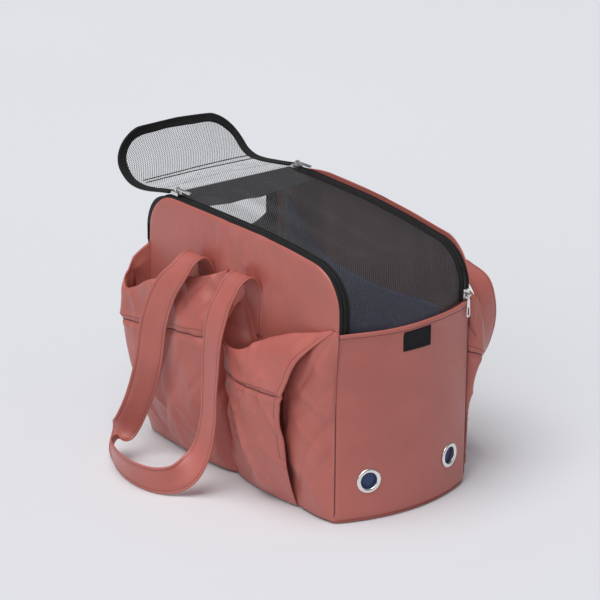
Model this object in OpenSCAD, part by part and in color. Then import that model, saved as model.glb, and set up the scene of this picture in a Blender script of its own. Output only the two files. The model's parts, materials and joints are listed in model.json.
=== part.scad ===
// Soft-sided pet carrier bag, in millimetres.
// Origin: centre of the base, on the surface that the bag stands on.
// +X runs along the bag to the closed end, -Y is the front long side, +Z is up.

/* [Body] */
// Length between the corner seams of the two ends
body_len = 360; // [330:1:400]
// Width between the outer faces of the long panels
body_w = 200; // [190:1:220]
// Height of the long panels
body_h = 315; // [305:1:330]
// How far the middle of each end swells past its corner seams
end_bulge = 24; // [18:1:28]
// Height of the rim of the closed end
rim_z = 232; // [226:1:240]
// Height of the lowest point of the doorway in the far end
door_z = 225; // [218:1:230]
// Radius of the top corners of the long panels
corner_r = 46; // [42:1:50]

/* [Fabric layers] */
// Thickness of the outer fabric
outer_t = 1.2; // [1:0.1:1.4]
// Thickness of the foam between outer fabric and lining
foam_t = 2; // [1.8:0.1:2.2]
// Thickness of a lining layer
lining_t = 0.8; // [0.6:0.1:0.9]
// Height of the navy spacer lining on the cabin walls
liner_z = 212; // [190:1:216]

/* [Vents] */
// Inner radius of a vent eyelet
eyelet_r = 10; // [8:0.5:11]
// Outer radius of a vent eyelet's flange
eyelet_flange_r = 15; // [14:0.5:15.5]
// Height of the vent centres
eyelet_z = 50; // [38:1:54]
// Distance of a vent centre from the middle of the end
eyelet_y = 61; // [50:1:66]

/* [Flap] */
// Where the flap is hinged, measured back from the middle of the bag
hinge_x = 142.5; // [141:0.5:144]
// Length of the flap's inner section, from hinge to crease
flap_inner_len = 70; // [64:1:72]
// Length of the flap's outer section, from crease to free edge
flap_outer_len = 78; // [70:1:80]
// Angle of the open inner section below level
flap_inner_droop = 5.7; // [4:0.1:8]
// Angle of the open outer section, counted from +X towards +Z
flap_outer_lean = 122; // [110:1:130]
// Width of the black binding round the flap
binding_w = 13; // [10:1:15]
// Corner radius of the flap's free edge
flap_corner_r = 45; // [30:1:50]

/* [Pockets] */
// How far the pocket mouths stand out from the long panels
pocket_out = 42; // [36:1:44]
// Height of the seam between pocket panel and yoke
pocket_seam_z = 150; // [140:1:156]
// Height of the free mouth edge
pocket_mouth_z = 196; // [190:1:204]

/* [Handles] */
// Width of the handle strap
strap_w = 34; // [30:1:36]
// Thickness of the handle strap
strap_t = 3; // [2.6:0.1:3.2]

/* [Hidden] */

$fn = 96;

fabric_col = "#b46a60";
lining_col = "#7c4139";
black_col = "#202022";
navy_col = "#3a4768";
foam_col = "#d8d4cc";
board_col = "#55565a";
metal_col = "#c9c9c9";

half_len = body_len / 2;
half_w = body_w / 2;
// Radius of the barrel curve of the ends, and the offset of its centre.
end_r = (half_w * half_w + end_bulge * end_bulge) / (2 * end_bulge);
end_cx = half_len + end_bulge - end_r;

// Depths of the layer boundaries below the outer face.
foam_in = outer_t;
lining_in = outer_t + foam_t;
cabin_in = lining_in + lining_t;
liner_in = cabin_in + lining_t;

base_t = 2;
board_t = 3;
mat_t = 12;
bottom_corner_r = 12;
tape_t = 1;
tape_w = 12;
tape_y = half_w - cabin_in - tape_w;
coil_t = 1.4;
coil_w = 4.2;
coil_y = 91;
mesh_t = 1;
hinge_z = body_h + 2.2;
flap_half_w = 96.5;
seam_gap = 0.4;
big = 1000;

// ---------------------------------------------------------------- outlines

// Plan of the body, all layers inset by d.
module plan(d) {
    intersection() {
        square([big, body_w - 2 * d], center = true);
        translate([end_cx, 0]) circle(r = end_r - d);
        translate([-end_cx, 0]) circle(r = end_r - d);
        square([2 * (half_len + end_bulge), body_w], center = true);
    }
}

// Side view of a long panel in x and z, grown outwards by g at its top.
module side_outline(g = 0) {
    r = corner_r + g;
    union() {
        translate([-half_len - g, bottom_corner_r])
            square([body_len + 2 * g, body_h - corner_r - bottom_corner_r]);
        translate([-half_len + bottom_corner_r, base_t])
            square([body_len - 2 * bottom_corner_r, body_h + g - base_t - corner_r]);
        translate([-half_len + corner_r, body_h - corner_r])
            square([body_len - 2 * corner_r, r]);
        for (s = [-1, 1]) {
            translate([s * (half_len - corner_r), body_h - corner_r]) circle(r = r);
            intersection() {
                translate([s * (half_len - bottom_corner_r), bottom_corner_r + base_t])
                    circle(r = bottom_corner_r);
                translate([-half_len, base_t]) square([body_len, body_h / 2]);
            }
        }
    }
}

// Doorway in the far end, seen along x as y and z, grown by g.
module door_outline(g = 0) {
    r = corner_r;
    half = half_w - outer_t - foam_t - lining_t;
    translate([-half - g, door_z + r]) square([2 * (half + g), big]);
    translate([-half + r, door_z - g]) square([2 * (half - r), big]);
    for (s = [-1, 1]) translate([s * (half - r), door_z + r]) circle(r = r + g);
}

// A slab whose outline is drawn in x and z, between two depths in y.
module side_slab(y0, y1) {
    translate([0, y1, 0]) rotate([90, 0, 0]) linear_extrude(y1 - y0) children();
}

// A slab whose outline is drawn in y and z, between two places in x.
module end_slab(x0, x1) {
    translate([x0, 0, 0]) rotate([90, 0, 90]) linear_extrude(x1 - x0) children();
}

// ---------------------------------------------------------------- base

module base_panel() {
    color(fabric_col) linear_extrude(base_t) plan(0);
}

module base_board() {
    color(board_col) translate([0, 0, base_t]) linear_extrude(board_t) plan(liner_in + 1);
}

module floor_mat() {
    color(navy_col) translate([0, 0, base_t + board_t])
        linear_extrude(mat_t) intersection() {
            plan(liner_in + 2);
            square([body_len + 2 * end_bulge - 24, body_w], center = true);
        }
}

// Navy spacer fabric that lines the lower walls of the cabin.
module cabin_liner() {
    color(navy_col) translate([0, 0, base_t]) linear_extrude(liner_z - base_t) difference() {
        plan(cabin_in);
        plan(liner_in);
    }
}

// ---------------------------------------------------------------- long sides

// One layer of a long side; side is -1 for the front and 1 for the rear.
module long_layer(side, d0, d1) {
    y0 = side > 0 ? half_w - d1 : -half_w + d0;
    side_slab(y0, y0 + d1 - d0) side_outline();
}

module front_panel() color(fabric_col) long_layer(-1, 0, foam_in);
module front_foam() color(foam_col) long_layer(-1, foam_in, lining_in);
module front_lining() color(lining_col) long_layer(-1, lining_in, cabin_in);
module rear_panel() color(fabric_col) long_layer(1, 0, foam_in);
module rear_foam() color(foam_col) long_layer(1, foam_in, lining_in);
module rear_lining() color(lining_col) long_layer(1, lining_in, cabin_in);

// ---------------------------------------------------------------- ends

// Plan of a curved strip that follows an end, between two depths, out to a half width.
module end_arc(side, d0, d1, half) {
    intersection() {
        translate([side * end_cx, 0]) difference() {
            circle(r = end_r - d0);
            circle(r = end_r - d1);
        }
        translate([side > 0 ? 0 : -big, -half]) square([big, 2 * half]);
    }
}

end_half = half_w - cabin_in - 0.05;

// One layer of an end wall between two depths, from the base to height top.
module end_layer(side, d0, d1, top) {
    translate([0, 0, base_t]) linear_extrude(top - base_t) end_arc(side, d0, d1, end_half);
}

// Puts its children at both vents of an end, with local +Z pointing out of the end.
module at_vents(side) {
    a = asin(eyelet_y / end_r);
    for (s = [-1, 1])
        translate([side * end_cx, 0, eyelet_z])
            rotate([0, 0, side > 0 ? s * a : 180 + s * a])
                translate([end_r, 0, 0]) rotate([0, 90, 0]) children();
}

module vent_holes(side, r) {
    at_vents(side) translate([0, 0, -8]) cylinder(r = r, h = 16);
}

fabric_hole_r = eyelet_r + 0.6;
foam_hole_r = eyelet_flange_r + 1.5;

module near_end_panel() color(fabric_col) difference() {
    end_layer(1, 0, foam_in, rim_z);
    vent_holes(1, fabric_hole_r);
}

module near_end_foam() color(foam_col) difference() {
    end_layer(1, foam_in, lining_in, rim_z);
    vent_holes(1, foam_hole_r);
}

module near_end_lining() color(lining_col) end_layer(1, lining_in, cabin_in, rim_z);

module doorway() end_slab(-big, 0) door_outline();

door_side_z = door_z + corner_r;
// The end wall runs out to a narrow tip beside the doorway, which is cut off here.
door_tip_z = door_side_z - 10;

module far_end_panel() color(fabric_col) difference() {
    end_layer(-1, 0, foam_in, door_tip_z);
    vent_holes(-1, fabric_hole_r);
    doorway();
}

module far_end_foam() color(foam_col) difference() {
    end_layer(-1, foam_in, lining_in, door_tip_z);
    vent_holes(-1, foam_hole_r);
    doorway();
}

module far_end_lining() color(lining_col) difference() {
    end_layer(-1, lining_in, cabin_in, door_tip_z);
    doorway();
}

// Fold of outer fabric that is stitched along the rim of the closed end.
rim_fold = 6;

module near_rim_binding() color(fabric_col)
    translate([0, 0, rim_z - rim_fold]) linear_extrude(rim_fold)
        end_arc(1, -lining_t, 0, end_half);

// Black tape inside the doorway, which carries the body half of the door zip.
module far_rim_tape() color(black_col) intersection() {
    translate([0, 0, liner_z]) linear_extrude(door_side_z - liner_z)
        end_arc(-1, cabin_in, liner_in, half_w - liner_in - 0.05);
    end_slab(-big, 0) difference() {
        door_outline(binding_w - 0.5);
        door_outline();
    }
}

label_w = 41;
label_h = 25;
label_z = 213;

// Plain woven patch under the rim.
module label_patch() color(black_col)
    translate([0, 0, label_z - label_h / 2]) linear_extrude(label_h)
        end_arc(1, -lining_t, 0, label_w / 2);

eyelet_barrel_r = eyelet_r + 0.5;
flange_t = 1.6;

// Rolled flange and barrel of the eyelets, and the washers they are set against.
module eyelets(side) color(metal_col) at_vents(side) {
    translate([0, 0, 0.05]) rotate_extrude() {
        intersection() {
            translate([(eyelet_r + eyelet_flange_r) / 2, 0])
                scale([1, 2 * flange_t / (eyelet_flange_r - eyelet_r)])
                    circle(r = (eyelet_flange_r - eyelet_r) / 2);
            square([big, flange_t]);
        }
    }
    translate([0, 0, -lining_in + 0.3]) rotate_extrude()
        translate([eyelet_r, 0]) square([eyelet_barrel_r - eyelet_r, lining_in - 0.2]);
}

module washers(side) color(metal_col) at_vents(side)
    translate([0, 0, -2.55]) rotate_extrude()
        translate([eyelet_barrel_r + 0.05, 0])
            square([eyelet_flange_r - eyelet_barrel_r - 0.05, 0.75]);

module near_vent_eyelets() eyelets(1);
module near_vent_washers() washers(1);
module far_vent_eyelets() eyelets(-1);
module far_vent_washers() washers(-1);

// ---------------------------------------------------------------- top and zips

// Closed sheet between two grids of points, given as functions of row and column.
module sheet(outer, inner, rows, cols) {
    n = cols + 1;
    size = (rows + 1) * n;
    pts = concat(
        [for (i = [0:rows], j = [0:cols]) outer(i, j)],
        [for (i = [0:rows], j = [0:cols]) inner(i, j)]
    );
    faces = concat(
        [for (i = [0:rows - 1], j = [0:cols - 1])
            each [[i * n + j, i * n + j + 1, (i + 1) * n + j + 1],
                  [i * n + j, (i + 1) * n + j + 1, (i + 1) * n + j]]],
        [for (i = [0:rows - 1], j = [0:cols - 1])
            each [[size + i * n + j, size + (i + 1) * n + j + 1, size + i * n + j + 1],
                  [size + i * n + j, size + (i + 1) * n + j, size + (i + 1) * n + j + 1]]],
        [for (i = [0:rows - 1], e = [0, cols])
            each let (a = i * n + e, b = (i + 1) * n + e)
                e == 0 ? [[a, b, size + b], [a, size + b, size + a]]
                       : [[b, a, size + a], [b, size + a, size + b]]],
        [for (j = [0:cols - 1], e = [0, rows])
            each let (a = e * n + j, b = e * n + j + 1)
                e == 0 ? [[b, a, size + a], [b, size + a, size + b]]
                       : [[a, b, size + b], [a, size + b, size + a]]]
    );
    polyhedron(points = pts, faces = faces);
}

// Point on the top mesh: u runs from the hinge over the top and down to the rim,
// v runs across from -1 to 1, and d is the depth below the side outline.
straight_x = half_len - corner_r;
top_flat = straight_x + hinge_x - 1;
top_arc = PI / 2 * corner_r;
top_drop = body_h - corner_r - rim_z;
top_total = top_flat + top_arc + top_drop;

function rim_swell(s) = pow(max(0, (s - top_flat) / (top_arc + top_drop)), 1.5);

function top_point(u, v, d) =
    let (s = u * top_total,
         y = v * tape_y,
         a = max(0, min(90, (s - top_flat) / corner_r * 180 / PI)),
         r = corner_r - d,
         drop = max(0, s - top_flat - top_arc),
         flat_x = min(s, top_flat) - hinge_x + 1,
         swell = (end_bulge - 4) * rim_swell(s) * (1 - v * v))
    [flat_x + r * sin(a) + swell, y, body_h - corner_r + r * cos(a) - drop];

module top_mesh() color(black_col)
    sheet(function (i, j) top_point(i / 28, -1 + j / 4, 0.5),
          function (i, j) top_point(i / 28, -1 + j / 4, 0.5 + mesh_t), 28, 8);

band_len = 56;

// Doubled band of black fabric across the top, just inside the hinge.
module hinge_band() color(black_col)
    translate([-hinge_x + 1, -tape_y, body_h - 2.6])
        cube([band_len, 2 * tape_y, 1]);

// Keeps the part of a side outline above the rim at one end and above the doorway's sides at the other.
module keep_above_rim() intersection() {
    children();
    union() {
        translate([0, rim_z]) square([big, big]);
        translate([-big / 2, door_side_z]) square([big, big]);
    }
}

// Black tape under the edge of a long panel, from the rim over the top.
module zip_tape(side) color(black_col)
    side_slab(side > 0 ? tape_y : -tape_y - tape_w, side > 0 ? tape_y + tape_w : -tape_y)
        keep_above_rim() difference() {
            side_outline();
            side_outline(-tape_t);
        }

// Closed zip chain from the hinge to the near rim, and the open half chain beyond it.
module zip_coil(side) color(black_col) {
    side_slab(side * coil_y - coil_w / 2, side * coil_y + coil_w / 2) intersection() {
        coil_band();
        translate([-130, 0]) square([big, big]);
    }
    y0 = side > 0 ? side * coil_y : side * coil_y - coil_w / 2;
    side_slab(y0, y0 + coil_w / 2) intersection() {
        coil_band();
        translate([-big - 130, 0]) square([big, big]);
    }
}

module coil_band() keep_above_rim() difference() {
    side_outline(coil_t);
    side_outline();
}

module front_zip_tape() zip_tape(-1);
module front_zip_coil() zip_coil(-1);
module rear_zip_tape() zip_tape(1);
module rear_zip_coil() zip_coil(1);

// ---------------------------------------------------------------- zip sliders

slider_len = 13;
slider_w = 9;
slider_h = 3.8;
slider_clear = 0.35;
pin_z = 7.6;
pin_r = 0.7;
pull_len = 27;
pull_w = 5.6;
pull_t = 1.4;
eye_r = 2.1;

// Slider with its length along X and its face up, over a chain at local z = 0.
module slider_shape() {
    difference() {
        translate([-slider_len / 2, -slider_w / 2, slider_clear])
            cube([slider_len, slider_w, slider_h]);
        translate([-slider_len, -coil_w / 2 - slider_clear, 0])
            cube([2 * slider_len, coil_w + 2 * slider_clear, coil_t + 2 * slider_clear]);
        for (s = [-1, 1])
            translate([s * slider_len * 0.62, 0, -1]) rotate([0, 0, 45])
                cube([4.5, 4.5, 20], center = true);
    }
    for (s = [-1, 1])
        translate([-1.2, s * 2.6 - 0.6, slider_clear + slider_h])
            cube([2.4, 1.2, pin_z - slider_h - slider_clear + 1.1]);
    translate([0, 0, pin_z]) rotate([90, 0, 0]) cylinder(r = pin_r, h = 5, center = true, $fn = 32);
}

// Pull that turns on the slider's crossbar, lying along +X.
module pull_shape() {
    translate([0, 0, pin_z]) difference() {
        union() {
            rotate([90, 0, 0]) cylinder(r = eye_r, h = 3.6, center = true, $fn = 32);
            translate([1, -1.3, -pull_t / 2]) cube([6, 2.6, pull_t]);
            translate([0, 0, -pull_t / 2]) linear_extrude(pull_t) difference() {
                hull() {
                    translate([7, 0]) circle(r = pull_w / 2 - 0.6, $fn = 32);
                    translate([pull_len - pull_w / 2, 0]) circle(r = pull_w / 2, $fn = 32);
                }
                hull() {
                    translate([pull_len - 11, 0]) circle(r = 1.1, $fn = 32);
                    translate([pull_len - 3.4, 0]) circle(r = 1.3, $fn = 32);
                }
            }
        }
        rotate([90, 0, 0]) cylinder(r = pin_r + 0.08, h = 20, center = true, $fn = 32);
    }
}

far_slider_x = -132;
near_slider_z = 240;

module at_far(side) translate([far_slider_x, side * coil_y, body_h]) children();

// On the near end the chain runs upright and faces +X; the pull hangs down.
module at_near() translate([half_len, coil_y, near_slider_z]) rotate([0, 90, 0]) children();

module front_far_slider() color(metal_col) at_far(-1) slider_shape();
module front_far_pull() color(metal_col) at_far(-1) pull_shape();
module rear_far_slider() color(metal_col) at_far(1) slider_shape();
module rear_far_pull() color(metal_col) at_far(1) pull_shape();
module rear_near_slider() color(metal_col) at_near() slider_shape();
module rear_near_pull() color(metal_col) at_near() pull_shape();

// ---------------------------------------------------------------- flap

crease_gap = 1;
binding_t = 2;

// Frames of the two sections: local +X runs away from the hinge or crease.
module inner_frame() translate([-hinge_x, 0, hinge_z])
    rotate([0, 180 - flap_inner_droop, 0]) rotate([180, 0, 0]) children();

module outer_frame() inner_frame() translate([flap_inner_len, 0, 0])
    rotate([0, flap_outer_lean - 180 - flap_inner_droop, 0]) children();

// Outline of the outer section, rounded at its free corners, inset by d.
module outer_outline(d) {
    half = flap_half_w - d;
    r = flap_corner_r - d;
    len = flap_outer_len - d;
    translate([crease_gap, -half]) square([len - r - crease_gap, 2 * half]);
    translate([crease_gap, -half + r]) square([len - crease_gap, 2 * (half - r)]);
    for (s = [-1, 1]) intersection() {
        translate([len - r, s * (half - r)]) circle(r = r);
        translate([crease_gap, -half]) square([len, 2 * half]);
    }
}

module flap_inner_mesh() color(black_col) inner_frame()
    translate([crease_gap, -flap_half_w + binding_w, -mesh_t / 2])
        cube([flap_inner_len - 2 * crease_gap, 2 * (flap_half_w - binding_w), mesh_t]);

module flap_inner_binding() color(black_col) inner_frame()
    for (s = [-1, 1])
        translate([crease_gap, s > 0 ? flap_half_w - binding_w : -flap_half_w, -binding_t / 2])
            cube([flap_inner_len - 2 * crease_gap, binding_w, binding_t]);

module flap_outer_mesh() color(black_col) outer_frame()
    translate([0, 0, -mesh_t / 2]) linear_extrude(mesh_t) outer_outline(binding_w);

module flap_outer_binding() color(black_col) outer_frame()
    translate([0, 0, -binding_t / 2]) linear_extrude(binding_t) difference() {
        outer_outline(0);
        outer_outline(binding_w);
    }

// ---------------------------------------------------------------- pockets

pocket_inner_x = 8;
pocket_outer_x = 174;
pocket_t = 1.6;
pocket_bottom_z = 4;
pocket_bottom_out = 3;
pocket_seam_out = pocket_out - 4;
// How far each side edge has moved in at the seam and at the mouth.
pocket_taper_seam = 14;
pocket_taper_mouth = 18;

// Convex plate between two level edges, each given as [x0, x1, out, z].
module pocket_plate(low, high) {
    corners = [for (e = [low, high], x = [e[0], e[1]], t = [0, pocket_t])
        [x, -half_w - e[2] + t, e[3]]];
    hull() polyhedron(points = corners, faces = [
        [0, 2, 3, 1], [4, 5, 7, 6], [0, 1, 5, 4], [2, 6, 7, 3], [0, 4, 6, 2], [1, 3, 7, 5]]);
}

// Edges of the pocket front: bottom, seam and mouth.
function pocket_edge(taper, out, z) = [pocket_inner_x + taper, pocket_outer_x - taper, out, z];
edge_bottom = pocket_edge(2, pocket_bottom_out, pocket_bottom_z);
edge_seam_low = pocket_edge(pocket_taper_seam, pocket_seam_out, pocket_seam_z - seam_gap);
edge_seam_high = pocket_edge(pocket_taper_seam, pocket_seam_out, pocket_seam_z);
edge_mouth = pocket_edge(pocket_taper_mouth, pocket_out, pocket_mouth_z);

module small_post(x, out, z) translate([x - 0.6, -half_w - out, z - 0.6]) cube([1.2, 1.2, 1.2]);

// Side wall of a pocket, from the panel seam out to the front edge.
module pocket_gusset(near) {
    d = near ? 1 : -1;
    function side_x(e) = (near ? e[1] : e[0]) + d * 1.6;
    hull() {
        small_post(near ? pocket_outer_x + 4 : pocket_inner_x - 4, 1.2, 12);
        small_post(near ? pocket_outer_x + 4 : pocket_inner_x - 4, 1.2, rim_z);
        small_post(side_x(edge_bottom), 3.2, pocket_bottom_z + 2);
        small_post(side_x(edge_seam_low), pocket_seam_out, pocket_seam_z);
        small_post(side_x(edge_mouth), pocket_out, pocket_mouth_z);
    }
}

// Mirrors a front near pocket piece to one of the four places.
module pocket_place(side, end) color(fabric_col)
    mirror([end < 0 ? 1 : 0, 0, 0]) mirror([0, side > 0 ? 1 : 0, 0]) children();

module pocket_panel(side, end) pocket_place(side, end) pocket_plate(edge_bottom, edge_seam_low);
module pocket_yoke(side, end) pocket_place(side, end) pocket_plate(edge_seam_high, edge_mouth);
module pocket_gussets(side, end) pocket_place(side, end) {
    pocket_gusset(true);
    pocket_gusset(false);
}

module front_near_pocket_panel() pocket_panel(-1, 1);
module front_near_pocket_yoke() pocket_yoke(-1, 1);
module front_near_pocket_gussets() pocket_gussets(-1, 1);
module front_far_pocket_panel() pocket_panel(-1, -1);
module front_far_pocket_yoke() pocket_yoke(-1, -1);
module front_far_pocket_gussets() pocket_gussets(-1, -1);
module rear_near_pocket_panel() pocket_panel(1, 1);
module rear_near_pocket_yoke() pocket_yoke(1, 1);
module rear_near_pocket_gussets() pocket_gussets(1, 1);
module rear_far_pocket_panel() pocket_panel(1, -1);
module rear_far_pocket_yoke() pocket_yoke(1, -1);
module rear_far_pocket_gussets() pocket_gussets(1, -1);

// ---------------------------------------------------------------- handles

// Routes of the straps as [point, direction across the strap].
front_root_left = [
    [[-58, -102, 190], [1, 0, 0]], [[-58, -102, 238], [1, 0, 0]],
    [[-59, -107, 256], [1, 0, 0]], [[-60, -116, 264], [1, 0, 0]],
    [[-60, -124, 264], [1, 0, 0]]
];
front_root_right = [
    [[30, -102, 190], [1, 0, 0]], [[30, -102, 238], [1, 0, 0]],
    [[30, -107, 256], [1, 0, 0]], [[30, -116, 264], [1, 0, 0]],
    [[30, -124, 264], [1, 0, 0]]
];
front_loop = [
    [[-60, -129, 260], [1, 0, 0]], [[-64, -139, 246], [1, 0.1, 0]],
    [[-78, -150, 221], [0.9, 0.4, 0]], [[-88, -159, 180], [0.8, 0.6, 0]],
    [[-93, -164, 130], [0.7, 0.7, 0]], [[-105, -169, 85], [0.6, 0.75, 0]],
    [[-121, -176, 46], [0.65, 0.7, -0.2]], [[-129, -188, 26], [0.85, -0.1, 0.5]],
    [[-115, -202, 19], [0.1, -0.2, 1]], [[-84, -213, 18], [0, -0.2, 1]],
    [[-46, -218, 18], [0, -0.2, 1]], [[-12, -209, 18], [0, -0.1, 1]],
    [[6, -188, 24], [-0.3, 0.1, 0.9]], [[15, -168, 48], [-0.9, 0.1, 0.5]],
    [[20, -160, 85], [-1, 0.1, 0.1]], [[23, -158, 130], [-1, 0.1, 0]],
    [[25, -157, 190], [-1, 0, 0]], [[27, -150, 225], [-1, -0.1, 0]],
    [[29, -139, 246], [-1, 0, 0]], [[30, -129, 260], [-1, 0, 0]]
];
rear_root_left = [
    [[-48, 102, 190], [1, 0, 0]], [[-48, 102, 238], [1, 0, 0]],
    [[-48, 107, 256], [1, 0, 0]], [[-48, 116, 264], [1, 0, 0]],
    [[-48, 125, 264], [1, 0, 0]]
];
rear_root_right = [
    [[48, 102, 190], [1, 0, 0]], [[48, 102, 238], [1, 0, 0]],
    [[50, 107, 256], [1, 0, 0]], [[52, 116, 264], [1, 0, 0]],
    [[52, 121, 264], [1, 0, 0]]
];
rear_loop = [
    [[-48, 129, 260], [1, 0, 0]], [[-49, 140, 245], [1, 0, 0]],
    [[-54, 151, 215], [1, 0, 0]], [[-58, 158, 165], [1, 0.1, 0]],
    [[-60, 161, 110], [1, 0.2, 0]], [[-56, 166, 64], [1, 0.4, 0.1]],
    [[-44, 176, 36], [0.7, 0.5, 0.5]], [[-14, 185, 22], [0.1, 0.3, 0.9]],
    [[24, 187, 20], [0, 0.3, 0.9]], [[60, 181, 30], [-0.2, 0.4, 0.8]],
    [[88, 173, 58], [-0.5, 0.5, 0.6]], [[113, 167, 95], [-0.6, 0.7, 0.3]],
    [[132, 164, 133], [-0.4, 0.9, 0.1]], [[143, 163, 171], [-0.2, 1, 0]],
    [[143, 162, 202], [-0.2, 1, 0.1]], [[132, 160, 226], [-0.3, 0.9, 0.2]],
    [[109, 155, 240], [-0.7, 0.7, 0.1]], [[82, 149, 243], [-0.9, 0.4, 0]],
    [[58, 139, 248], [-1, 0, 0]], [[52, 129, 260], [-1, 0, 0]]
];

steps = 3;

function unit(v) = v / norm(v);

// Catmull-Rom curve through a list of vectors.
function smooth(p) = let (m = len(p) - 1) [
    for (i = [0:m - 1], k = [0:steps - 1])
        let (t = k / steps,
             a = p[max(i - 1, 0)], b = p[i], c = p[i + 1], e = p[min(i + 2, m)])
        0.5 * (2 * b + (c - a) * t + (2 * a - 5 * b + 4 * c - e) * t * t
               + (3 * b - a - 3 * c + e) * t * t * t),
    p[m]
];

// Flat strap swept along a route.
module strap(route) {
    mid = smooth([for (r = route) r[0]]);
    across = smooth([for (r = route) unit(r[1])]);
    last = len(mid) - 1;
    rings = [for (i = [0:last])
        let (along = unit(mid[min(i + 1, last)] - mid[max(i - 1, 0)]),
             side = unit(across[i] - (across[i] * along) * along),
             up = cross(along, side))
        [for (c = [[-1, -1], [1, -1], [1, 1], [-1, 1]])
            mid[i] + side * c[0] * strap_w / 2 + up * c[1] * strap_t / 2]];
    polyhedron(
        points = [for (r = rings) each r],
        faces = concat(
            [[3, 2, 1], [3, 1, 0]],
            [for (i = [0:last - 1], k = [0:3])
                let (a = i * 4 + k, b = i * 4 + (k + 1) % 4)
                each [[a, b, b + 4], [a, b + 4, a + 4]]],
            [[last * 4, last * 4 + 1, last * 4 + 2], [last * 4, last * 4 + 2, last * 4 + 3]]
        )
    );
}

module front_handle_roots() color(fabric_col) {
    strap(front_root_left);
    strap(front_root_right);
}

module front_handle() color(fabric_col) strap(front_loop);

module rear_handle_roots() color(fabric_col) {
    strap(rear_root_left);
    strap(rear_root_right);
}

module rear_handle() color(fabric_col) strap(rear_loop);

// ---------------------------------------------------------------- assembly

base_panel();
base_board();
floor_mat();
cabin_liner();
front_panel();
front_foam();
front_lining();
rear_panel();
rear_foam();
rear_lining();
near_end_panel();
near_end_foam();
near_end_lining();
far_end_panel();
far_end_foam();
far_end_lining();
near_rim_binding();
far_rim_tape();
label_patch();
near_vent_eyelets();
near_vent_washers();
far_vent_eyelets();
far_vent_washers();
top_mesh();
hinge_band();
front_zip_tape();
front_zip_coil();
rear_zip_tape();
rear_zip_coil();
flap_inner_mesh();
flap_inner_binding();
flap_outer_mesh();
flap_outer_binding();
front_far_slider();
front_far_pull();
rear_far_slider();
rear_far_pull();
rear_near_slider();
rear_near_pull();
front_near_pocket_panel();
front_near_pocket_yoke();
front_near_pocket_gussets();
front_far_pocket_panel();
front_far_pocket_yoke();
front_far_pocket_gussets();
rear_near_pocket_panel();
rear_near_pocket_yoke();
rear_near_pocket_gussets();
rear_far_pocket_panel();
rear_far_pocket_yoke();
rear_far_pocket_gussets();
front_handle_roots();
front_handle();
rear_handle_roots();
rear_handle();
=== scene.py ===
"""Looks of a soft-sided pet carrier bag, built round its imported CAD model.

The frame is in metres: +X runs to the closed end, -Y is the front long side and +Z is up.
Shapes here are worked out in millimetres and turned into metres by add_mesh().
"""

import json
import math

import bmesh
import bpy
import numpy as np
from mathutils import Matrix, Vector, noise


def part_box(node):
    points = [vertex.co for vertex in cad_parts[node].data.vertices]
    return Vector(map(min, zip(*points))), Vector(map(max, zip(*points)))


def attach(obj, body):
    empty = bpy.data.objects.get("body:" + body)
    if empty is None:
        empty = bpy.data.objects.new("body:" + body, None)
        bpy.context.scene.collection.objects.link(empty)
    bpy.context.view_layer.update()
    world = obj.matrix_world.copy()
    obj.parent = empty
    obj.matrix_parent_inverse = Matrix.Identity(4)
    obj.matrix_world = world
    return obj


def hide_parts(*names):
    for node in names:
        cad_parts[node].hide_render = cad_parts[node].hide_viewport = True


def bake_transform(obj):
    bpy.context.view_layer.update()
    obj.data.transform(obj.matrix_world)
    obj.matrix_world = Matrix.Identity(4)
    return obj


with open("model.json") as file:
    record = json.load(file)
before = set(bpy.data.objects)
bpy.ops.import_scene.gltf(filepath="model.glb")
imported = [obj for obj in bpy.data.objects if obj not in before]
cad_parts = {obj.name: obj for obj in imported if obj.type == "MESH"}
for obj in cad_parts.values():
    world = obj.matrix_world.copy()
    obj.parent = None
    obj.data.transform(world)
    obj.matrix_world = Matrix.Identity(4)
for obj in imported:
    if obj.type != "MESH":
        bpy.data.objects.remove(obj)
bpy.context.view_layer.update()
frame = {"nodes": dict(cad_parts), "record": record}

MM = 0.001

# ------------------------------------------------------------------ dimensions, read from the frame


def low(node):
    return np.array(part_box(node)[0]) / MM


def high(node):
    return np.array(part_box(node)[1]) / MM


HALF_LEN = high("front_panel")[0]
HALF_W = high("rear_panel")[1]
TOP = high("front_panel")[2]
RIM = high("near_end_panel")[2]
END_X = high("near_end_panel")[0]
BULGE = END_X - HALF_LEN
END_R = (HALF_W**2 + BULGE**2) / (2 * BULGE)
END_CX = END_X - END_R
CORNER_R = 46.0
LINER_Z = high("cabin_liner")[2]
DOOR_Z = 225.0
DOOR_HALF = 96.0
HINGE_X = -142.5
HINGE_Z = TOP + 2.2
TAPE_Y = -high("front_zip_tape")[1]
COIL_Y = 91.0
MAT_LOW = low("floor_mat")[2]
MAT_TOP = high("floor_mat")[2]
WALL_T = 3.2
CLOTH_T = 1.2
VENT_HOLE_R = 10.7
ZIP_START_Z = 247
MAT_X, MAT_Y = 178, 91
SIDES = {-1: "front", 1: "rear"}
ENDS = {-1: "far", 1: "near"}

# ------------------------------------------------------------------ small maths


def smoothstep(a, b, x):
    t = np.clip((np.asarray(x, float) - a) / (b - a), 0, 1)
    return t * t * (3 - 2 * t)


def unit(v):
    v = np.asarray(v, float)
    return v / np.maximum(np.linalg.norm(v, axis=-1, keepdims=True), 1e-9)


def curve(points, count):
    """Smooth curve through the points: count samples, evenly spaced between the points' own numbers."""
    p = np.asarray(points, float)
    t = np.linspace(0, len(p) - 1, count)
    i = np.clip(t.astype(int), 0, len(p) - 2)
    f = (t - i)[:, None]
    a, b = p[np.maximum(i - 1, 0)], p[i]
    c, d = p[i + 1], p[np.minimum(i + 2, len(p) - 1)]
    return 0.5 * (
        2 * b + (c - a) * f + (2 * a - 5 * b + 4 * c - d) * f**2 + (3 * b - a - 3 * c + d) * f**3
    )


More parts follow.
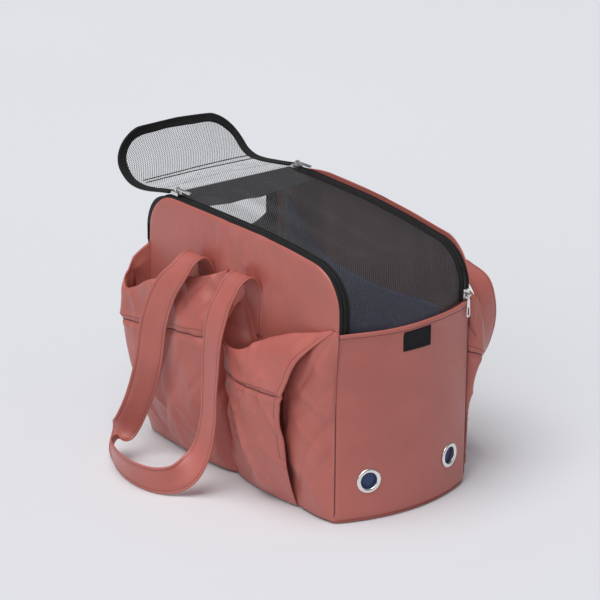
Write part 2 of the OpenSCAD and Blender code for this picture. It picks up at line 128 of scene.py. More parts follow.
def pack(*parts):
    """Points from their separate coordinates, which may be arrays or single numbers."""
    return np.stack(np.broadcast_arrays(*parts), axis=-1)


def distance_along(path):
    """Length of a path up to each of its points."""
    return np.concatenate([[0], np.cumsum(np.linalg.norm(np.diff(path, axis=0), axis=1))])


def even(path, count, values=None):
    """A path, or values that belong to its points, at places an even distance apart."""
    p = np.asarray(path, float)
    v = p if values is None else values
    s = distance_along(p)
    want = np.linspace(0, s[-1], count)
    return np.stack([np.interp(want, s, v[:, k]) for k in range(v.shape[1])], axis=1)


def length_of(path):
    return float(np.linalg.norm(np.diff(path, axis=0), axis=1).sum())


def surface(control, rows, cols):
    """Smooth grid of points through a coarse grid of them."""
    c = np.asarray(control, float)
    across = np.stack([curve(row, cols) for row in c])
    return np.stack([curve(across[:, k], rows) for k in range(cols)], axis=1)


def normals(grid):
    """Unit normals of a grid, on the side where row x column turns to."""
    du = np.gradient(grid, axis=1)
    dv = np.gradient(grid, axis=0)
    return unit(np.cross(du, dv))


def ripple(points, size, seed):
    """Smooth noise from -1 to 1 at each point; size is its scale in millimetres."""
    q = np.asarray(points, float) / np.asarray(size, float) + seed * 17.3
    flat = q.reshape(-1, 3)
    return np.array([noise.noise(Vector(v)) for v in flat]).reshape(q.shape[:-1])


# ------------------------------------------------------------------ mesh making


def add_mesh(name, points, faces, material, uv=None):
    """New object from points in millimetres; uv is one pair for each point, in metres."""
    mesh = bpy.data.meshes.new(name)
    mesh.from_pydata([tuple(p) for p in np.asarray(points, float) * MM], [], faces)
    if uv is not None:
        layer = mesh.uv_layers.new(name="weave")
        at = np.array([loop.vertex_index for loop in mesh.loops])
        layer.data.foreach_set("uv", np.asarray(uv, np.float32)[at].ravel())
    mesh.polygons.foreach_set("use_smooth", [True] * len(mesh.polygons))
    mesh.materials.append(material)
    mesh.update()
    obj = bpy.data.objects.new(name, mesh)
    bpy.context.scene.collection.objects.link(obj)
    return obj


def grid_uv(grid):
    """Distances along the middle row and column of a grid, in metres."""
    rows, cols = grid.shape[:2]
    u = distance_along(grid[rows // 2]) * MM
    v = distance_along(grid[:, cols // 2]) * MM
    return np.stack(np.meshgrid(u, v), axis=-1)


def quads(at, closed=False):
    """Faces over a grid of point numbers, whose last column joins its first when it is closed."""
    if closed:
        at = np.hstack([at, at[:, :1]])
    return pack(at[:-1, :-1], at[:-1, 1:], at[1:, 1:], at[1:, :-1]).reshape(-1, 4)


def slab(name, outer, inner, material, uv=None):
    """Closed piece of cloth between two grids; the outer one's normals point outwards."""
    uv = np.asarray(grid_uv(outer) if uv is None else uv, float).reshape(-1, 2)
    n = len(uv)
    at = np.arange(n).reshape(outer.shape[:2])
    front = quads(at)
    ring = np.concatenate([at[0, :-1], at[:-1, -1], at[-1, :0:-1], at[:0:-1, 0]])
    after = np.roll(ring, -1)
    faces = np.concatenate([front, front[:, [0, 3, 2, 1]] + n, pack(after, ring, ring + n, after + n)])
    points = np.concatenate([outer.reshape(-1, 3), inner.reshape(-1, 3)])
    return add_mesh(name, points, faces.tolist(), material, np.concatenate([uv, uv]))


def cloth(name, grid, thickness, material, uv=None):
    """A grid given a thickness behind its surface."""
    return slab(name, grid, grid - normals(grid) * thickness, material, uv)


def loft(name, sections, material, uv=None):
    """Closed piece through a row of closed cross-sections, with its ends capped."""
    n, m = sections.shape[:2]
    at = np.arange(n * m).reshape(n, m)
    faces = quads(at, closed=True).tolist() + [at[0, ::-1].tolist(), at[-1].tolist()]
    if uv is None:
        uv = grid_uv(sections).reshape(-1, 2)
    obj = add_mesh(name, sections.reshape(-1, 3), faces, material, uv)
    bm = bmesh.new()
    bm.from_mesh(obj.data)
    bmesh.ops.recalc_face_normals(bm, faces=bm.faces)
    bm.to_mesh(obj.data)
    bm.free()
    return obj


def sweep(name, path, across, out, ring, material):
    """A closed cross-section carried along a path: ring gives its (across, out) offsets."""
    ring = np.asarray(ring, float)
    sections = path[:, None] + across[:, None] * ring[None, :, :1] + out[:, None] * ring[None, :, 1:]
    return loft(name, sections, material)


def oval(width, height, count=12):
    a = np.arange(count) / count * 2 * math.pi
    return pack(np.cos(a) * width / 2, np.sin(a) * height / 2)


def beads(name, centres, along, out, size, material):
    """Many small rounded bars in one mesh: size is (along, across, out)."""
    rings, segments = 3, 6
    shape = [(0, 0, -1)]
    for i in range(1, rings + 1):
        a = math.pi * i / (rings + 1)
        for j in range(segments):
            b = 2 * math.pi * j / segments
            shape.append((math.sin(a) * math.cos(b), math.sin(a) * math.sin(b), -math.cos(a)))
    shape.append((0, 0, 1))
    shape = np.array(shape)
    faces = [[0, 1 + (j + 1) % segments, 1 + j] for j in range(segments)]
    for i in range(rings - 1):
        for j in range(segments):
            a, b = 1 + i * segments + j, 1 + i * segments + (j + 1) % segments
            faces.append([a, b, b + segments, a + segments])
    top = 1 + (rings - 1) * segments
    faces += [[top + j, top + (j + 1) % segments, len(shape) - 1] for j in range(segments)]
    centres, along, out = np.asarray(centres, float), unit(along), unit(out)
    across = unit(np.cross(out, along))
    out = np.cross(along, across)
    # The bead's long axis is its third one, so the poles are at its ends.
    half = np.asarray(size, float) / 2
    p = (
        centres[:, None]
        + across[:, None] * shape[None, :, :1] * half[1]
        + out[:, None] * shape[None, :, 1:2] * half[2]
        + along[:, None] * shape[None, :, 2:] * half[0]
    )
    m = len(shape)
    every = [[k + i * m for k in f] for i in range(len(centres)) for f in faces]
    uv = np.tile(shape[:, :2] * half[1] * MM, (len(centres), 1))
    return add_mesh(name, p.reshape(-1, 3), every, material, uv)


STITCH = (2.7, 0.85, 0.7)
STITCH_PITCH = 3.5


def stitches(name, path, out, material, lift=0.05):
    """A row of machine stitches along a path that lies on a surface with the given outward direction."""
    count = max(2, int(length_of(path) / STITCH_PITCH))
    p = even(path, count * 4 + 1)
    o = unit(even(np.broadcast_to(out, path.shape), count * 4 + 1))
    along = np.gradient(p, axis=0)
    pick = np.arange(2, count * 4, 4)
    return beads(name, p[pick] + o[pick] * lift, along[pick], o[pick], STITCH, material)


# ------------------------------------------------------------------ how the soft body has settled

SAG_FRONT = [
    (-205, -8), (-180, -6), (-155, -5), (-134, -2.6), (-60, -2.2), (40, -2.2),
    (98, -5.5), (140, -10), (165, -9), (178, -4), (205, -2),
]  # fmt: skip
SAG_REAR = [
    (-205, -6), (-155, -4), (-134, -0.5), (-111, 1), (-8, -2.5), (18, -4),
    (77, -10), (132, -18), (154, -20), (172, -21), (205, -20),
]  # fmt: skip


def soft_table(x, table):
    """Value of a table at x, with its corners rounded off."""
    xs, values = np.array(table, float).T
    return np.mean([np.interp(x + d, xs, values) for d in np.linspace(-13, 13, 9)], axis=0)


def settle(points):
    """Moves points of the plain body to where its soft top edges lie."""
    p = np.array(points, float)
    x, y, z = p[..., 0], p[..., 1], p[..., 2]
    front = soft_table(x, SAG_FRONT)
    rear = soft_table(x, SAG_REAR)
    share = np.clip((y + HALF_W) / (2 * HALF_W), 0, 1)
    high_up = smoothstep(235, 288, z)
    corner = smoothstep(150, 182, x) * smoothstep(215, 240, z) * (1 - smoothstep(255, 300, z))
    p[..., 2] += (front * (1 - share) + rear * share) * high_up
    p[..., 0] += corner * 5 * (1 - share)
    return p


def side_x(z):
    """Half length of a long side at a height, before it settles."""
    z = np.asarray(z, float)
    over = np.clip(z - (TOP - CORNER_R), 0, CORNER_R)
    under = np.clip(14 - z, 0, 12)
    return HALF_LEN - CORNER_R + np.sqrt(CORNER_R**2 - over**2) - (12 - np.sqrt(144 - under**2))


def side_path(grow, start_z, end_z, count):
    """Points (x, z) along a long side's edge, from the doorway over the top to the near rim."""
    r = CORNER_R + grow
    cx, cz = HALF_LEN - CORNER_R, TOP - CORNER_R
    a = np.linspace(0, math.pi / 2, 24)
    far = pack(-cx - r * np.cos(a), cz + r * np.sin(a))
    near = pack(cx + r * np.sin(a), cz + r * np.cos(a))
    path = np.concatenate([[[-HALF_LEN - grow, start_z]], far, near, [[HALF_LEN + grow, end_z]]])
    return even(path, count)


def end_x(y, inset=0.0):
    """How far out an end stands at a distance from its middle."""
    return END_CX + np.sqrt((END_R - inset) ** 2 - np.asarray(y, float) ** 2)


# ------------------------------------------------------------------ materials


def material(name):
    """New node material with its Principled shader."""
    mat = bpy.data.materials.new(name)
    mat.use_nodes = True
    shader = mat.node_tree.nodes["Principled BSDF"]
    return mat, mat.node_tree, shader


def give(made, **values):
    """Sets a node's properties, and its inputs by their names with _ for each space."""
    for key, value in values.items():
        if hasattr(made, key):
            setattr(made, key, value)
        else:
            made.inputs[key.replace("_", " ")].default_value = value
    return made


def node(tree, kind, **values):
    return give(tree.nodes.new("ShaderNode" + kind), **values)


def noise_at(tree, scale, detail=3.0):
    place = node(tree, "TexCoord")
    made = node(tree, "TexNoise", Scale=scale, Detail=detail)
    tree.links.new(place.outputs["Object"], made.inputs["Vector"])
    return made.outputs["Fac"]


def two_tones(tree, shader, dark, light, scale):
    """Base colour that drifts softly between two tones."""
    ramp = node(tree, "ValToRGB")
    for stop, place, colour in zip(ramp.color_ramp.elements, (0.35, 0.65), (dark, light)):
        stop.position = place
        stop.color = (*colour, 1)
    tree.links.new(noise_at(tree, scale), ramp.inputs["Fac"])
    tree.links.new(ramp.outputs["Color"], shader.inputs["Base Color"])


def bump(tree, shader, height, strength, distance):
    made = node(tree, "Bump", Strength=strength, Distance=distance)
    tree.links.new(height, made.inputs["Height"])
    tree.links.new(made.outputs["Normal"], shader.inputs["Normal"])


def bands(tree, pitch, angle):
    """Parallel threads on the cloth's own pattern, a pitch apart in metres."""
    uv = node(tree, "UVMap", uv_map="weave")
    turn = node(tree, "Mapping", Rotation=(0, 0, math.radians(angle)))
    tree.links.new(uv.outputs["UV"], turn.inputs["Vector"])
    # A wave texture has one band for each 2 pi / 20 of its scaled coordinate.
    wave = node(tree, "TexWave", Scale=2 * math.pi / 20 / pitch, Distortion=0.0)
    tree.links.new(turn.outputs["Vector"], wave.inputs["Vector"])
    return wave.outputs["Fac"]


def combine(tree, a, b, operation="ADD"):
    made = node(tree, "Math", operation=operation)
    tree.links.new(a, made.inputs[0])
    tree.links.new(b, made.inputs[1])
    return made.outputs["Value"]


def nylon(name, dark, light):
    """Satin twill nylon: fine diagonal threads, a soft sheen and faint handling marks."""
    mat, tree, shader = material(name)
    two_tones(tree, shader, dark, light, 14.0)
    give(shader, Roughness=0.37, Specular_IOR_Level=0.5, Sheen_Weight=0.08, Sheen_Roughness=0.4)
    give(shader, Sheen_Tint=(1.0, 0.82, 0.78, 1))
    threads = combine(tree, bands(tree, 0.0007, 58), bands(tree, 0.0011, -32))
    bump(tree, shader, combine(tree, threads, noise_at(tree, 90.0, 4.0)), 0.16, 0.0004)
    return mat


def ribbed(name, dark, light, pitch, roughness, sheen):
    """Woven tape, spacer fabric or lining, with ribs a pitch apart."""
    mat, tree, shader = material(name)
    two_tones(tree, shader, dark, light, 45.0)
    give(shader, Roughness=roughness, Sheen_Weight=sheen, Sheen_Roughness=0.45, Specular_IOR_Level=0.25)
    bump(tree, shader, combine(tree, bands(tree, pitch, 90), bands(tree, pitch * 0.6, 0)), 0.5, 0.0005)
    return mat


MESH_PITCH = 0.0027
# Steps from a place in the pattern to its distance from the middle of its hole.
NET_STEPS = [("FRACTION", None), ("SUBTRACT", (0.5, 0.5, 0)), ("MULTIPLY", (1.0, 1.35, 0)), ("LENGTH", None)]


def net(name, colour, hole):
    """Open polyester mesh: rows of round holes, each row half a hole along from the last."""
    mat, tree, shader = material(name)
    give(shader, Base_Color=(*colour, 1), Roughness=0.5, Sheen_Weight=0.1)
    uv = node(tree, "UVMap", uv_map="weave")
    distance = []
    for shift in (0.0, 0.5):
        scale = (1 / MESH_PITCH, 0.62 / MESH_PITCH, 1)
        scaled = node(tree, "Mapping", Scale=scale, Location=(shift, shift, 0))
        tree.links.new(uv.outputs["UV"], scaled.inputs["Vector"])
        value = scaled.outputs["Vector"]
        for operation, by in NET_STEPS:
            step = node(tree, "VectorMath", operation=operation)
            tree.links.new(value, step.inputs[0])
            if by:
                step.inputs[1].default_value = by
            value = step.outputs["Value" if operation == "LENGTH" else "Vector"]
        distance.append(value)
    edge = node(tree, "MapRange", From_Min=hole - 0.05, From_Max=hole + 0.03)
    tree.links.new(combine(tree, *distance, "MINIMUM"), edge.inputs["Value"])
    mix = node(tree, "MixShader")
    tree.links.new(edge.outputs["Result"], mix.inputs["Fac"])
    tree.links.new(node(tree, "BsdfTransparent").outputs["BSDF"], mix.inputs[1])
    tree.links.new(shader.outputs["BSDF"], mix.inputs[2])
    tree.links.new(mix.outputs["Shader"], tree.nodes["Material Output"].inputs["Surface"])
    return mat


def metal(name, colour, roughness):
    mat, tree, shader = material(name)
    give(shader, Base_Color=(*colour, 1), Metallic=1.0)
    spread = node(tree, "MapRange", To_Min=roughness - 0.06, To_Max=roughness + 0.08)
    tree.links.new(noise_at(tree, 400.0), spread.inputs["Value"])
    tree.links.new(spread.outputs["Result"], shader.inputs["Roughness"])
    return mat


def grained(name, dark, light, roughness, scale=300.0):
    mat, tree, shader = material(name)
    two_tones(tree, shader, dark, light, 60.0)
    give(shader, Roughness=roughness)
    bump(tree, shader, noise_at(tree, scale), 0.3, 0.0004)
    return mat


NYLON = nylon("terracotta_nylon", (0.44, 0.119, 0.096), (0.49, 0.137, 0.112))
# Dark thread colour for the stitches, also used for the dark lines laid in seams, which are painted seam
# shade.
THREAD_AND_SEAM_SHADE = nylon("terracotta_thread_and_seam_shade", (0.10, 0.028, 0.023), (0.13, 0.036, 0.030))
# The top mesh is the same black mesh as the flap's, painted lighter: the extra grey is painted sheen on its
# threads.
NET_WITH_PAINTED_SHEEN = net("black_mesh", (0.075, 0.070, 0.076), 0.40)
FLAP_NET = net("black_flap_mesh", (0.034, 0.034, 0.037), 0.425)
TAPE = ribbed("black_tape", (0.006, 0.006, 0.0065), (0.010, 0.010, 0.011), 0.0012, 0.55, 0.03)
BAND = ribbed("hinge_cloth", (0.026, 0.025, 0.028), (0.036, 0.034, 0.038), 0.0016, 0.7, 0.1)
COIL = grained("zip_coil", (0.012, 0.012, 0.013), (0.02, 0.02, 0.022), 0.34)
NAVY = ribbed("navy_spacer", (0.050, 0.080, 0.190), (0.066, 0.104, 0.232), 0.0022, 0.8, 0.3)
WINE = ribbed("wine_lining", (0.110, 0.034, 0.032), (0.140, 0.044, 0.040), 0.0009, 0.55, 0.2)
LABEL = ribbed("black_label", (0.005, 0.005, 0.006), (0.008, 0.008, 0.009), 0.0008, 0.65, 0.0)
METAL = metal("zip_metal", (0.80, 0.79, 0.77), 0.22)
RING_METAL = metal("eyelet_metal", (0.83, 0.82, 0.80), 0.20)
FOAM = grained("foam", (0.6, 0.58, 0.54), (0.66, 0.64, 0.60), 0.9, 900.0)
BOARD = grained("stiffener_board", (0.06, 0.06, 0.065), (0.08, 0.08, 0.085), 0.55)

SLOT_LOOKS = dict(
    terracotta_nylon=NYLON, black_mesh=NET_WITH_PAINTED_SHEEN, black_tape=TAPE, zip_coil=COIL, zip_metal=METAL,
    eyelet_metal=RING_METAL, navy_spacer=NAVY, wine_lining=WINE, black_label=LABEL, foam=FOAM,
    stiffener_board=BOARD,
)  # fmt: skip
SLOT_OF = {look: slot for slot, look in SLOT_LOOKS.items()}
SLOT_OF.update({THREAD_AND_SEAM_SHADE: "terracotta_nylon", FLAP_NET: "black_mesh", BAND: "black_tape"})


def paint_nodes():
    """Gives every CAD node its finish."""
    for part in frame["record"]["subparts"]:
        obj = frame["nodes"][part["node"]]
        obj.data.materials.clear()
        obj.data.materials.append(SLOT_LOOKS[part["material_slot"]])


def finish_piece(obj, *replaces):
    """Hides the CAD nodes that a piece on the shell stands for, and hangs the piece on the shell."""
    if replaces:
        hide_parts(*replaces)
    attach(obj, "shell")


# ------------------------------------------------------------------ walls of the body


def roll(edge, radius):
    """Depth of a rolled border: edge is the distance from the seam."""
    t = np.clip(1 - np.asarray(edge, float) / radius, 0, 1)
    return radius * (1 - np.sqrt(1 - t * t))


def long_wall(side):
    """Padded outer wall of a long side, rolled in along its seams."""
    rows, cols = 96, 108
    v = np.linspace(0, 1, rows)
    z = 2 + (TOP - 2) * (0.5 - 0.5 * np.cos(v * math.pi)) ** 0.9
    z = 2 + (TOP - 2) * v * 0.4 + (z - 2) * 0.6
    half = side_x(z)
    u = np.linspace(-1, 1, cols)
    u = 0.8 * u + 0.2 * np.sin(u * math.pi / 2)
    x = half[:, None] * u[None]
    zz = np.broadcast_to(z[:, None], x.shape)
    edge_x = (half[:, None] - np.abs(x)) * np.where(zz > TOP - CORNER_R, 0.75, 1.0)
    edge = np.minimum(np.minimum(edge_x, TOP - zz), zz - 2)
    swell = 2.2 * smoothstep(0, 60, edge)
    low_bulge = 5 * smoothstep(2, 30, zz) * (1 - smoothstep(60, 130, zz))
    low_bulge = low_bulge * smoothstep(0, 60, edge_x)
    gathers = gathered(x, zz) if side < 0 else gathered(x, zz) * 0.5
    soft = ripple(pack(x, zz * 0.6, 0), 70, 3 + side)
    out = HALF_W - 3.0 * roll(edge, 6) / 6 + swell * 0.5 + low_bulge + gathers + 0.8 * soft
    outer = pack(x, side * out, zz)
    inner = pack(x, side * (HALF_W - WALL_T), zz)
    outer, inner = settle(outer), settle(inner)
    if side > 0:
        stand = 7.0 * smoothstep(0, 26, 26 - edge) * smoothstep(-138, -70, x) * smoothstep(230, 275, zz)
        outer[..., 2] += stand
        inner[..., 2] += stand
        outer, inner = outer[:, ::-1], inner[:, ::-1]
    name = SIDES[side]
    obj = slab(name + "_wall", outer, inner, NYLON)
    finish_piece(obj, name + "_panel", name + "_foam")


def creases(points, size, seed):
    """Narrow crests along the lines where smooth noise crosses zero, from 0 to 1."""
    return np.clip(1 - np.abs(ripple(points, size, seed)) * 3.0, 0, 1) ** 1.5


def gathered(x, z):
    """Puckers that hang from the zip near the middle of a long side."""
    hang = smoothstep(205, 292, z) * (1 - 0.85 * smoothstep(TOP - 9, TOP - 1, z))
    spread = np.exp(-(((x - 5) / 70) ** 2))
    folds = np.sin(x / 6.3 + 0.9 * np.sin(z / 23.0)) + 0.6 * np.sin(x / 3.7 + z / 31.0)
    crest = creases(pack(x, z * 0.25, 0), 11, 5)
    return (1.1 * folds + 1.6 * crest) * hang * spread


def end_top(side, y, gap, spare, drop):
    """Height of an end's top edge: the rim less a gap, or the doorway's lower edge, ended below the zip."""
    if side > 0:
        return np.full(len(y), RIM - gap)
    over = np.clip(np.abs(y) - (DOOR_HALF - CORNER_R), 0, CORNER_R)
    top = DOOR_Z + CORNER_R - np.sqrt(CORNER_R**2 - np.minimum(over, CORNER_R - spare) ** 2)
    return np.minimum(top, TOP - CORNER_R - drop)


def end_wall(side):
    """Padded outer wall of an end; the far one stops at the doorway's lower edge."""
    rows, cols = 60, 90
    y = np.linspace(-HALF_W + 0.4, HALF_W - 0.4, cols)
    top = end_top(side, y, 0.3, 0.5, 2)
    v = np.linspace(0, 1, rows)
    z = 2 + (top[None] - 2) * v[:, None]
    yy = np.broadcast_to(y[None], z.shape)
    edge = np.minimum(HALF_W - np.abs(yy), z - 2)
    edge_top = top[None] - z
    soft = ripple(pack(0, yy, z), 62, 11 + side)
    dents = ripple(pack(yy + z * 0.7, z * 0.3, 0), 34, 21 + side)
    out = end_x(yy) - 3.2 * roll(edge, 6) / 6 - 0.8 * roll(edge_top, 2) / 2
    out = out + 1.1 * soft * smoothstep(0, 30, edge) + 0.5 * dents * smoothstep(0, 25, edge)
    inner_x = end_x(yy, WALL_T)
    outer = pack(side * out, yy, z)
    inner = pack(side * inner_x, yy, z)
    if side < 0:
        outer, inner = outer[:, ::-1], inner[:, ::-1]
    name = ENDS[side]
    obj = slab(name + "_end_wall", settle(outer), settle(inner), NYLON)
    cut_vents(obj, side)
    finish_piece(obj, name + "_end_panel", name + "_end_foam")


def vent_centres(side):
    """Centre and outward direction of the two vents of an end, from their CAD eyelets."""
    name = ENDS[side]
    lo, hi = low(name + "_vent_eyelets"), high(name + "_vent_eyelets")
    z = (lo[2] + hi[2]) / 2
    y = hi[1] - (hi[2] - lo[2]) / 2
    out = unit(np.array([math.sqrt(END_R**2 - y**2), y]))
    y = out[1] * END_R
    return [(np.array([side * end_x(y), s * y, z]), np.array([side * out[0], s * out[1], 0])) for s in (-1, 1)]


def cut_vents(wall, side):
    """Cuts the eyelets' round holes through an end wall."""
    for centre, out in vent_centres(side):
        bpy.ops.mesh.primitive_cylinder_add(vertices=48, radius=VENT_HOLE_R * MM, depth=14 * MM)
        drill = bpy.context.object
        turn = Vector(out).to_track_quat("Z", "Y").to_matrix().to_4x4()
        drill.matrix_world = Matrix.Translation(Vector(centre * MM)) @ turn
        mod = wall.modifiers.new("vent", "BOOLEAN")
        mod.operation = "DIFFERENCE"
        mod.solver = "EXACT"
        mod.object = drill
        with bpy.context.temp_override(object=wall, active_object=wall):
            bpy.ops.object.modifier_apply(modifier=mod.name)
        bpy.data.objects.remove(drill, do_unlink=True)


def rim_fold():
    """Folded and topstitched rim of the closed end."""
    cols = 70
    y = np.linspace(-HALF_W + 1.5, HALF_W - 1.5, cols)
    profile = [(-0.2, -6.8), (1.1, -6.2), (1.3, -5.2), (0.6, -4.5), (1.3, -3.8), (1.5, -2.2),
               (1.3, -0.8), (0.5, 0.4), (-0.9, 0.9), (-2.4, 0.4), (-3.0, -1.5)]  # fmt: skip
    grid = np.zeros((len(profile), cols, 3))
    for i, (out, up) in enumerate(profile):
        grid[i, :, 0] = end_x(y) + out
        grid[i, :, 1] = y
        grid[i, :, 2] = RIM - 0.4 + up + 0.5 * np.sin(y / 17.0)
    grid = settle(surface(grid, 34, cols))
    obj = cloth("near_rim_fold", grid, 0.7, NYLON)
    finish_piece(obj, "near_rim_binding")
    line = pack(end_x(y) + 0.75, y, RIM - 4.9 + 0.5 * np.sin(y / 17.0))
    out = unit(pack(end_x(y) - END_CX, y, 0))
    finish_piece(stitches("near_rim_stitches", settle(line), out, THREAD_AND_SEAM_SHADE))


def end_linings():
    """Wine lining on the inside of both ends."""
    for side, name in ((1, "near"), (-1, "far")):
        y = np.linspace(-HALF_W + 4, HALF_W - 4, 50)
        top = end_top(side, y, 1.0, 1, 3)
        z = 6 + (top[None] - 6) * np.linspace(0, 1, 40)[:, None]
        yy = np.broadcast_to(y[None], z.shape)
        soft = ripple(pack(0, yy, z), 40, 31 + side)
        grid = pack(side * (end_x(yy, WALL_T + 0.4) - 0.3 + 0.25 * soft), yy, z)
        if side > 0:
            grid = grid[:, ::-1]
        obj = cloth(name + "_end_lining_cloth", settle(grid), 0.5, WINE)
        cut_vents(obj, side)
        finish_piece(obj, name + "_end_lining")


def long_linings():
    """Wine lining on the inside of both long sides, with soft upright wrinkles."""
    for side, name in ((1, "rear"), (-1, "front")):
        z = np.linspace(6, TOP - 1, 60)
        u = np.linspace(-1, 1, 80)
        x = (side_x(z) - 1)[:, None] * u[None]
        zz = np.broadcast_to(z[:, None], x.shape)
        folds = 0.9 * np.sin(x / 9 + 2 * np.sin(x / 41 + zz / 90)) * smoothstep(180, 240, zz)
        fade = smoothstep(0, 25, TOP - zz) * smoothstep(0, 25, HALF_LEN - np.abs(x))
        y = side * (HALF_W - WALL_T - 0.4 - (1.2 + folds) * fade)
        grid = pack(x, y, zz)
        if side < 0:
            grid = grid[:, ::-1]
        obj = cloth(name + "_lining_cloth", settle(grid), -0.5, WINE)
        finish_piece(obj, name + "_lining")


def corner_seam_shade_lines():
    """Thin dark line along each corner seam of the body, where a long side meets an end; its darkness is
    painted shade in the seam.
    """
    z = np.linspace(4, RIM - 2, 80)
    for side, name in SIDES.items():
        for end, place in ENDS.items():
            out = unit(np.array([end * 0.6, side * 0.8, 0.0]))
            x = end * (side_x(z) - 0.5)
            path = settle(pack(x, side * (HALF_W - 1.6), z))
            outs = np.broadcast_to(out, path.shape)
            across = np.cross(np.broadcast_to([0.0, 0.0, 1.0], path.shape), outs)
            # This dark tube stands for the shade in the seam: painted shade.
            obj = sweep(f"{name}_{place}_corner_seam", path, across, outs, oval(1.6, 2.0, 8), THREAD_AND_SEAM_SHADE)
            finish_piece(obj)


# ------------------------------------------------------------------ floor and cabin


def plan_ring(count, inset):
    """Points an even distance apart round the body's plan outline, inset."""
    corners = HALF_W - inset
    y_end = np.linspace(-corners, corners, 41)
    near = pack(end_x(y_end, inset), y_end)
    far = pack(-end_x(y_end, inset), y_end)[::-1]
    ring = np.concatenate([near, far, near[:1]])
    return even(ring, count)


def rounded_plan(inset, count):
    """Closed plan outline with its corners rounded a little."""
    ring = plan_ring(count * 4 + 1, inset)[:-1]
    kernel = np.hanning(19)
    kernel /= kernel.sum()
    wide = np.concatenate([ring[-9:], ring, ring[:9]])
    soft = np.stack([np.convolve(wide[:, k], kernel, "valid") for k in (0, 1)], axis=-1)
    return soft[::4]


def disc(name, ring, profile, material_of, crown=None):
    """Closed soft slab: the plan ring scaled by each profile entry (share of the way out, height)."""
    n = len(ring)
    points, uv = [], []
    for share, z in profile:
        layer = np.column_stack([ring * share, np.full(n, z)])
        if crown is not None:
            layer[:, 2] += crown(layer[:, 0], layer[:, 1], z)
        points.append(layer)
        uv.append(ring * share * MM)
    m = len(profile)
    at = np.arange(n * m).reshape(m, n)
    faces = quads(at, closed=True).tolist()
    points = np.concatenate(points)
    uv = np.concatenate(uv)
    for row, up in ((0, False), (m - 1, True)):
        centre = len(points)
        points = np.concatenate([points, [points[at[row]].mean(0)]])
        uv = np.concatenate([uv, [uv[at[row]].mean(0)]])
        for k in range(n):
            a, b = int(at[row, k]), int(at[row, (k + 1) % n])
            faces.append([a, b, centre] if up else [b, a, centre])
    return add_mesh(name, points, faces, material_of, uv)


def base():
    """Bottom panel, turned up a little all round."""
    ring = rounded_plan(1.0, 200)
    profile = [(0.3, 0.0), (0.7, 0.0), (0.96, 0.0), (0.985, 0.25), (0.997, 1.2), (1.0, 2.4),
               (0.99, 3.2), (0.95, 3.0), (0.6, 3.0), (0.3, 3.0)]  # fmt: skip
    obj = disc("base_cloth", ring, profile, NYLON)
    finish_piece(obj, "base_panel")


def mat():
    """Quilted floor mat, crowned between its bound edge and a sewn line across the middle."""
    ring = rounded_plan(7.5, 160)
    ring[:, 0] = np.clip(ring[:, 0], -MAT_X, MAT_X)

    def crown(x, y, z):
        edge = np.minimum(MAT_X - np.abs(x), MAT_Y - np.abs(y))
        seam = 1 - 0.75 * np.exp(-((x / 5) ** 2))
        return np.where(z > MAT_LOW + 3, 3.2 * smoothstep(0, 45, edge) * seam, 0)

    levels = np.linspace(0.05, 0.94, 22)
    profile = [(s, MAT_LOW + 0.1) for s in (0.1, 0.5, 0.9)]
    profile += [(0.975, MAT_LOW + 1), (0.99, MAT_LOW + 4), (0.985, MAT_LOW + 7.5), (0.965, MAT_TOP - 3)]
    profile += [(s, MAT_TOP - 2.6) for s in levels[::-1]]
    obj = disc("floor_mat_pad", ring, profile, NAVY, crown)
    finish_piece(obj, "floor_mat")


LINER_RISE = [(-164, 0), (-150, 34), (-136, 78), (-128, 76), (-112, 40), (-92, 10), (-70, 0)]


def liner():
    """Navy spacer lining round the cabin's lower walls; its loose edge stands up at the far rear corner."""
    count = 400
    ring = plan_ring(count, 4.6)
    on_rear = (ring[:, 1] > HALF_W - 8) & (np.abs(ring[:, 0]) < 176)
    rise = np.where(on_rear, np.interp(ring[:, 0], *np.array(LINER_RISE).T), 0)
    wave = 3.0 * np.sin(np.arange(count) / count * 2 * math.pi * 5 + 1) - 2
    top = LINER_Z - 3 + wave + rise
    z = MAT_LOW + (top[None] - MAT_LOW) * np.linspace(0, 1, 36)[:, None]
    inward = np.clip(z - LINER_Z, 0, 90) * 0.26
    x = np.broadcast_to(ring[:, 0], z.shape)
    y = ring[:, 1] - inward
    soft = ripple(pack(x, y, z * 0.4), 28, 41)
    grid = pack(x, y, z)
    out = pack(x / HALF_LEN, y / HALF_W, 0)
    grid = grid - unit(out) * (0.5 + 0.5 * soft)[..., None]
    grid = grid[:, ::-1]
    obj = cloth("cabin_liner_cloth", grid, -0.6, NAVY)
    finish_piece(obj, "cabin_liner")


# ------------------------------------------------------------------ top mesh and zips


def top_path(v):
    """Middle line of the top mesh at a place v across, from the hinge over the top to the rim."""
    path = side_path(-0.6, TOP - CORNER_R, RIM - 3, 400)
    path = path[np.argmax(path[:, 0] > HINGE_X + 1) :]
    path = path[path[:, 1] > 0]
    s = distance_along(path)
    flat = HALF_LEN - CORNER_R - HINGE_X
    swell = (BULGE - 3) * np.clip((s - flat) / (s[-1] - flat), 0, 1) ** 1.5 * (1 - v * v)
    x = path[:, 0] + swell
    return even(pack(x, v * (TAPE_Y - 1), path[:, 1]), 150)


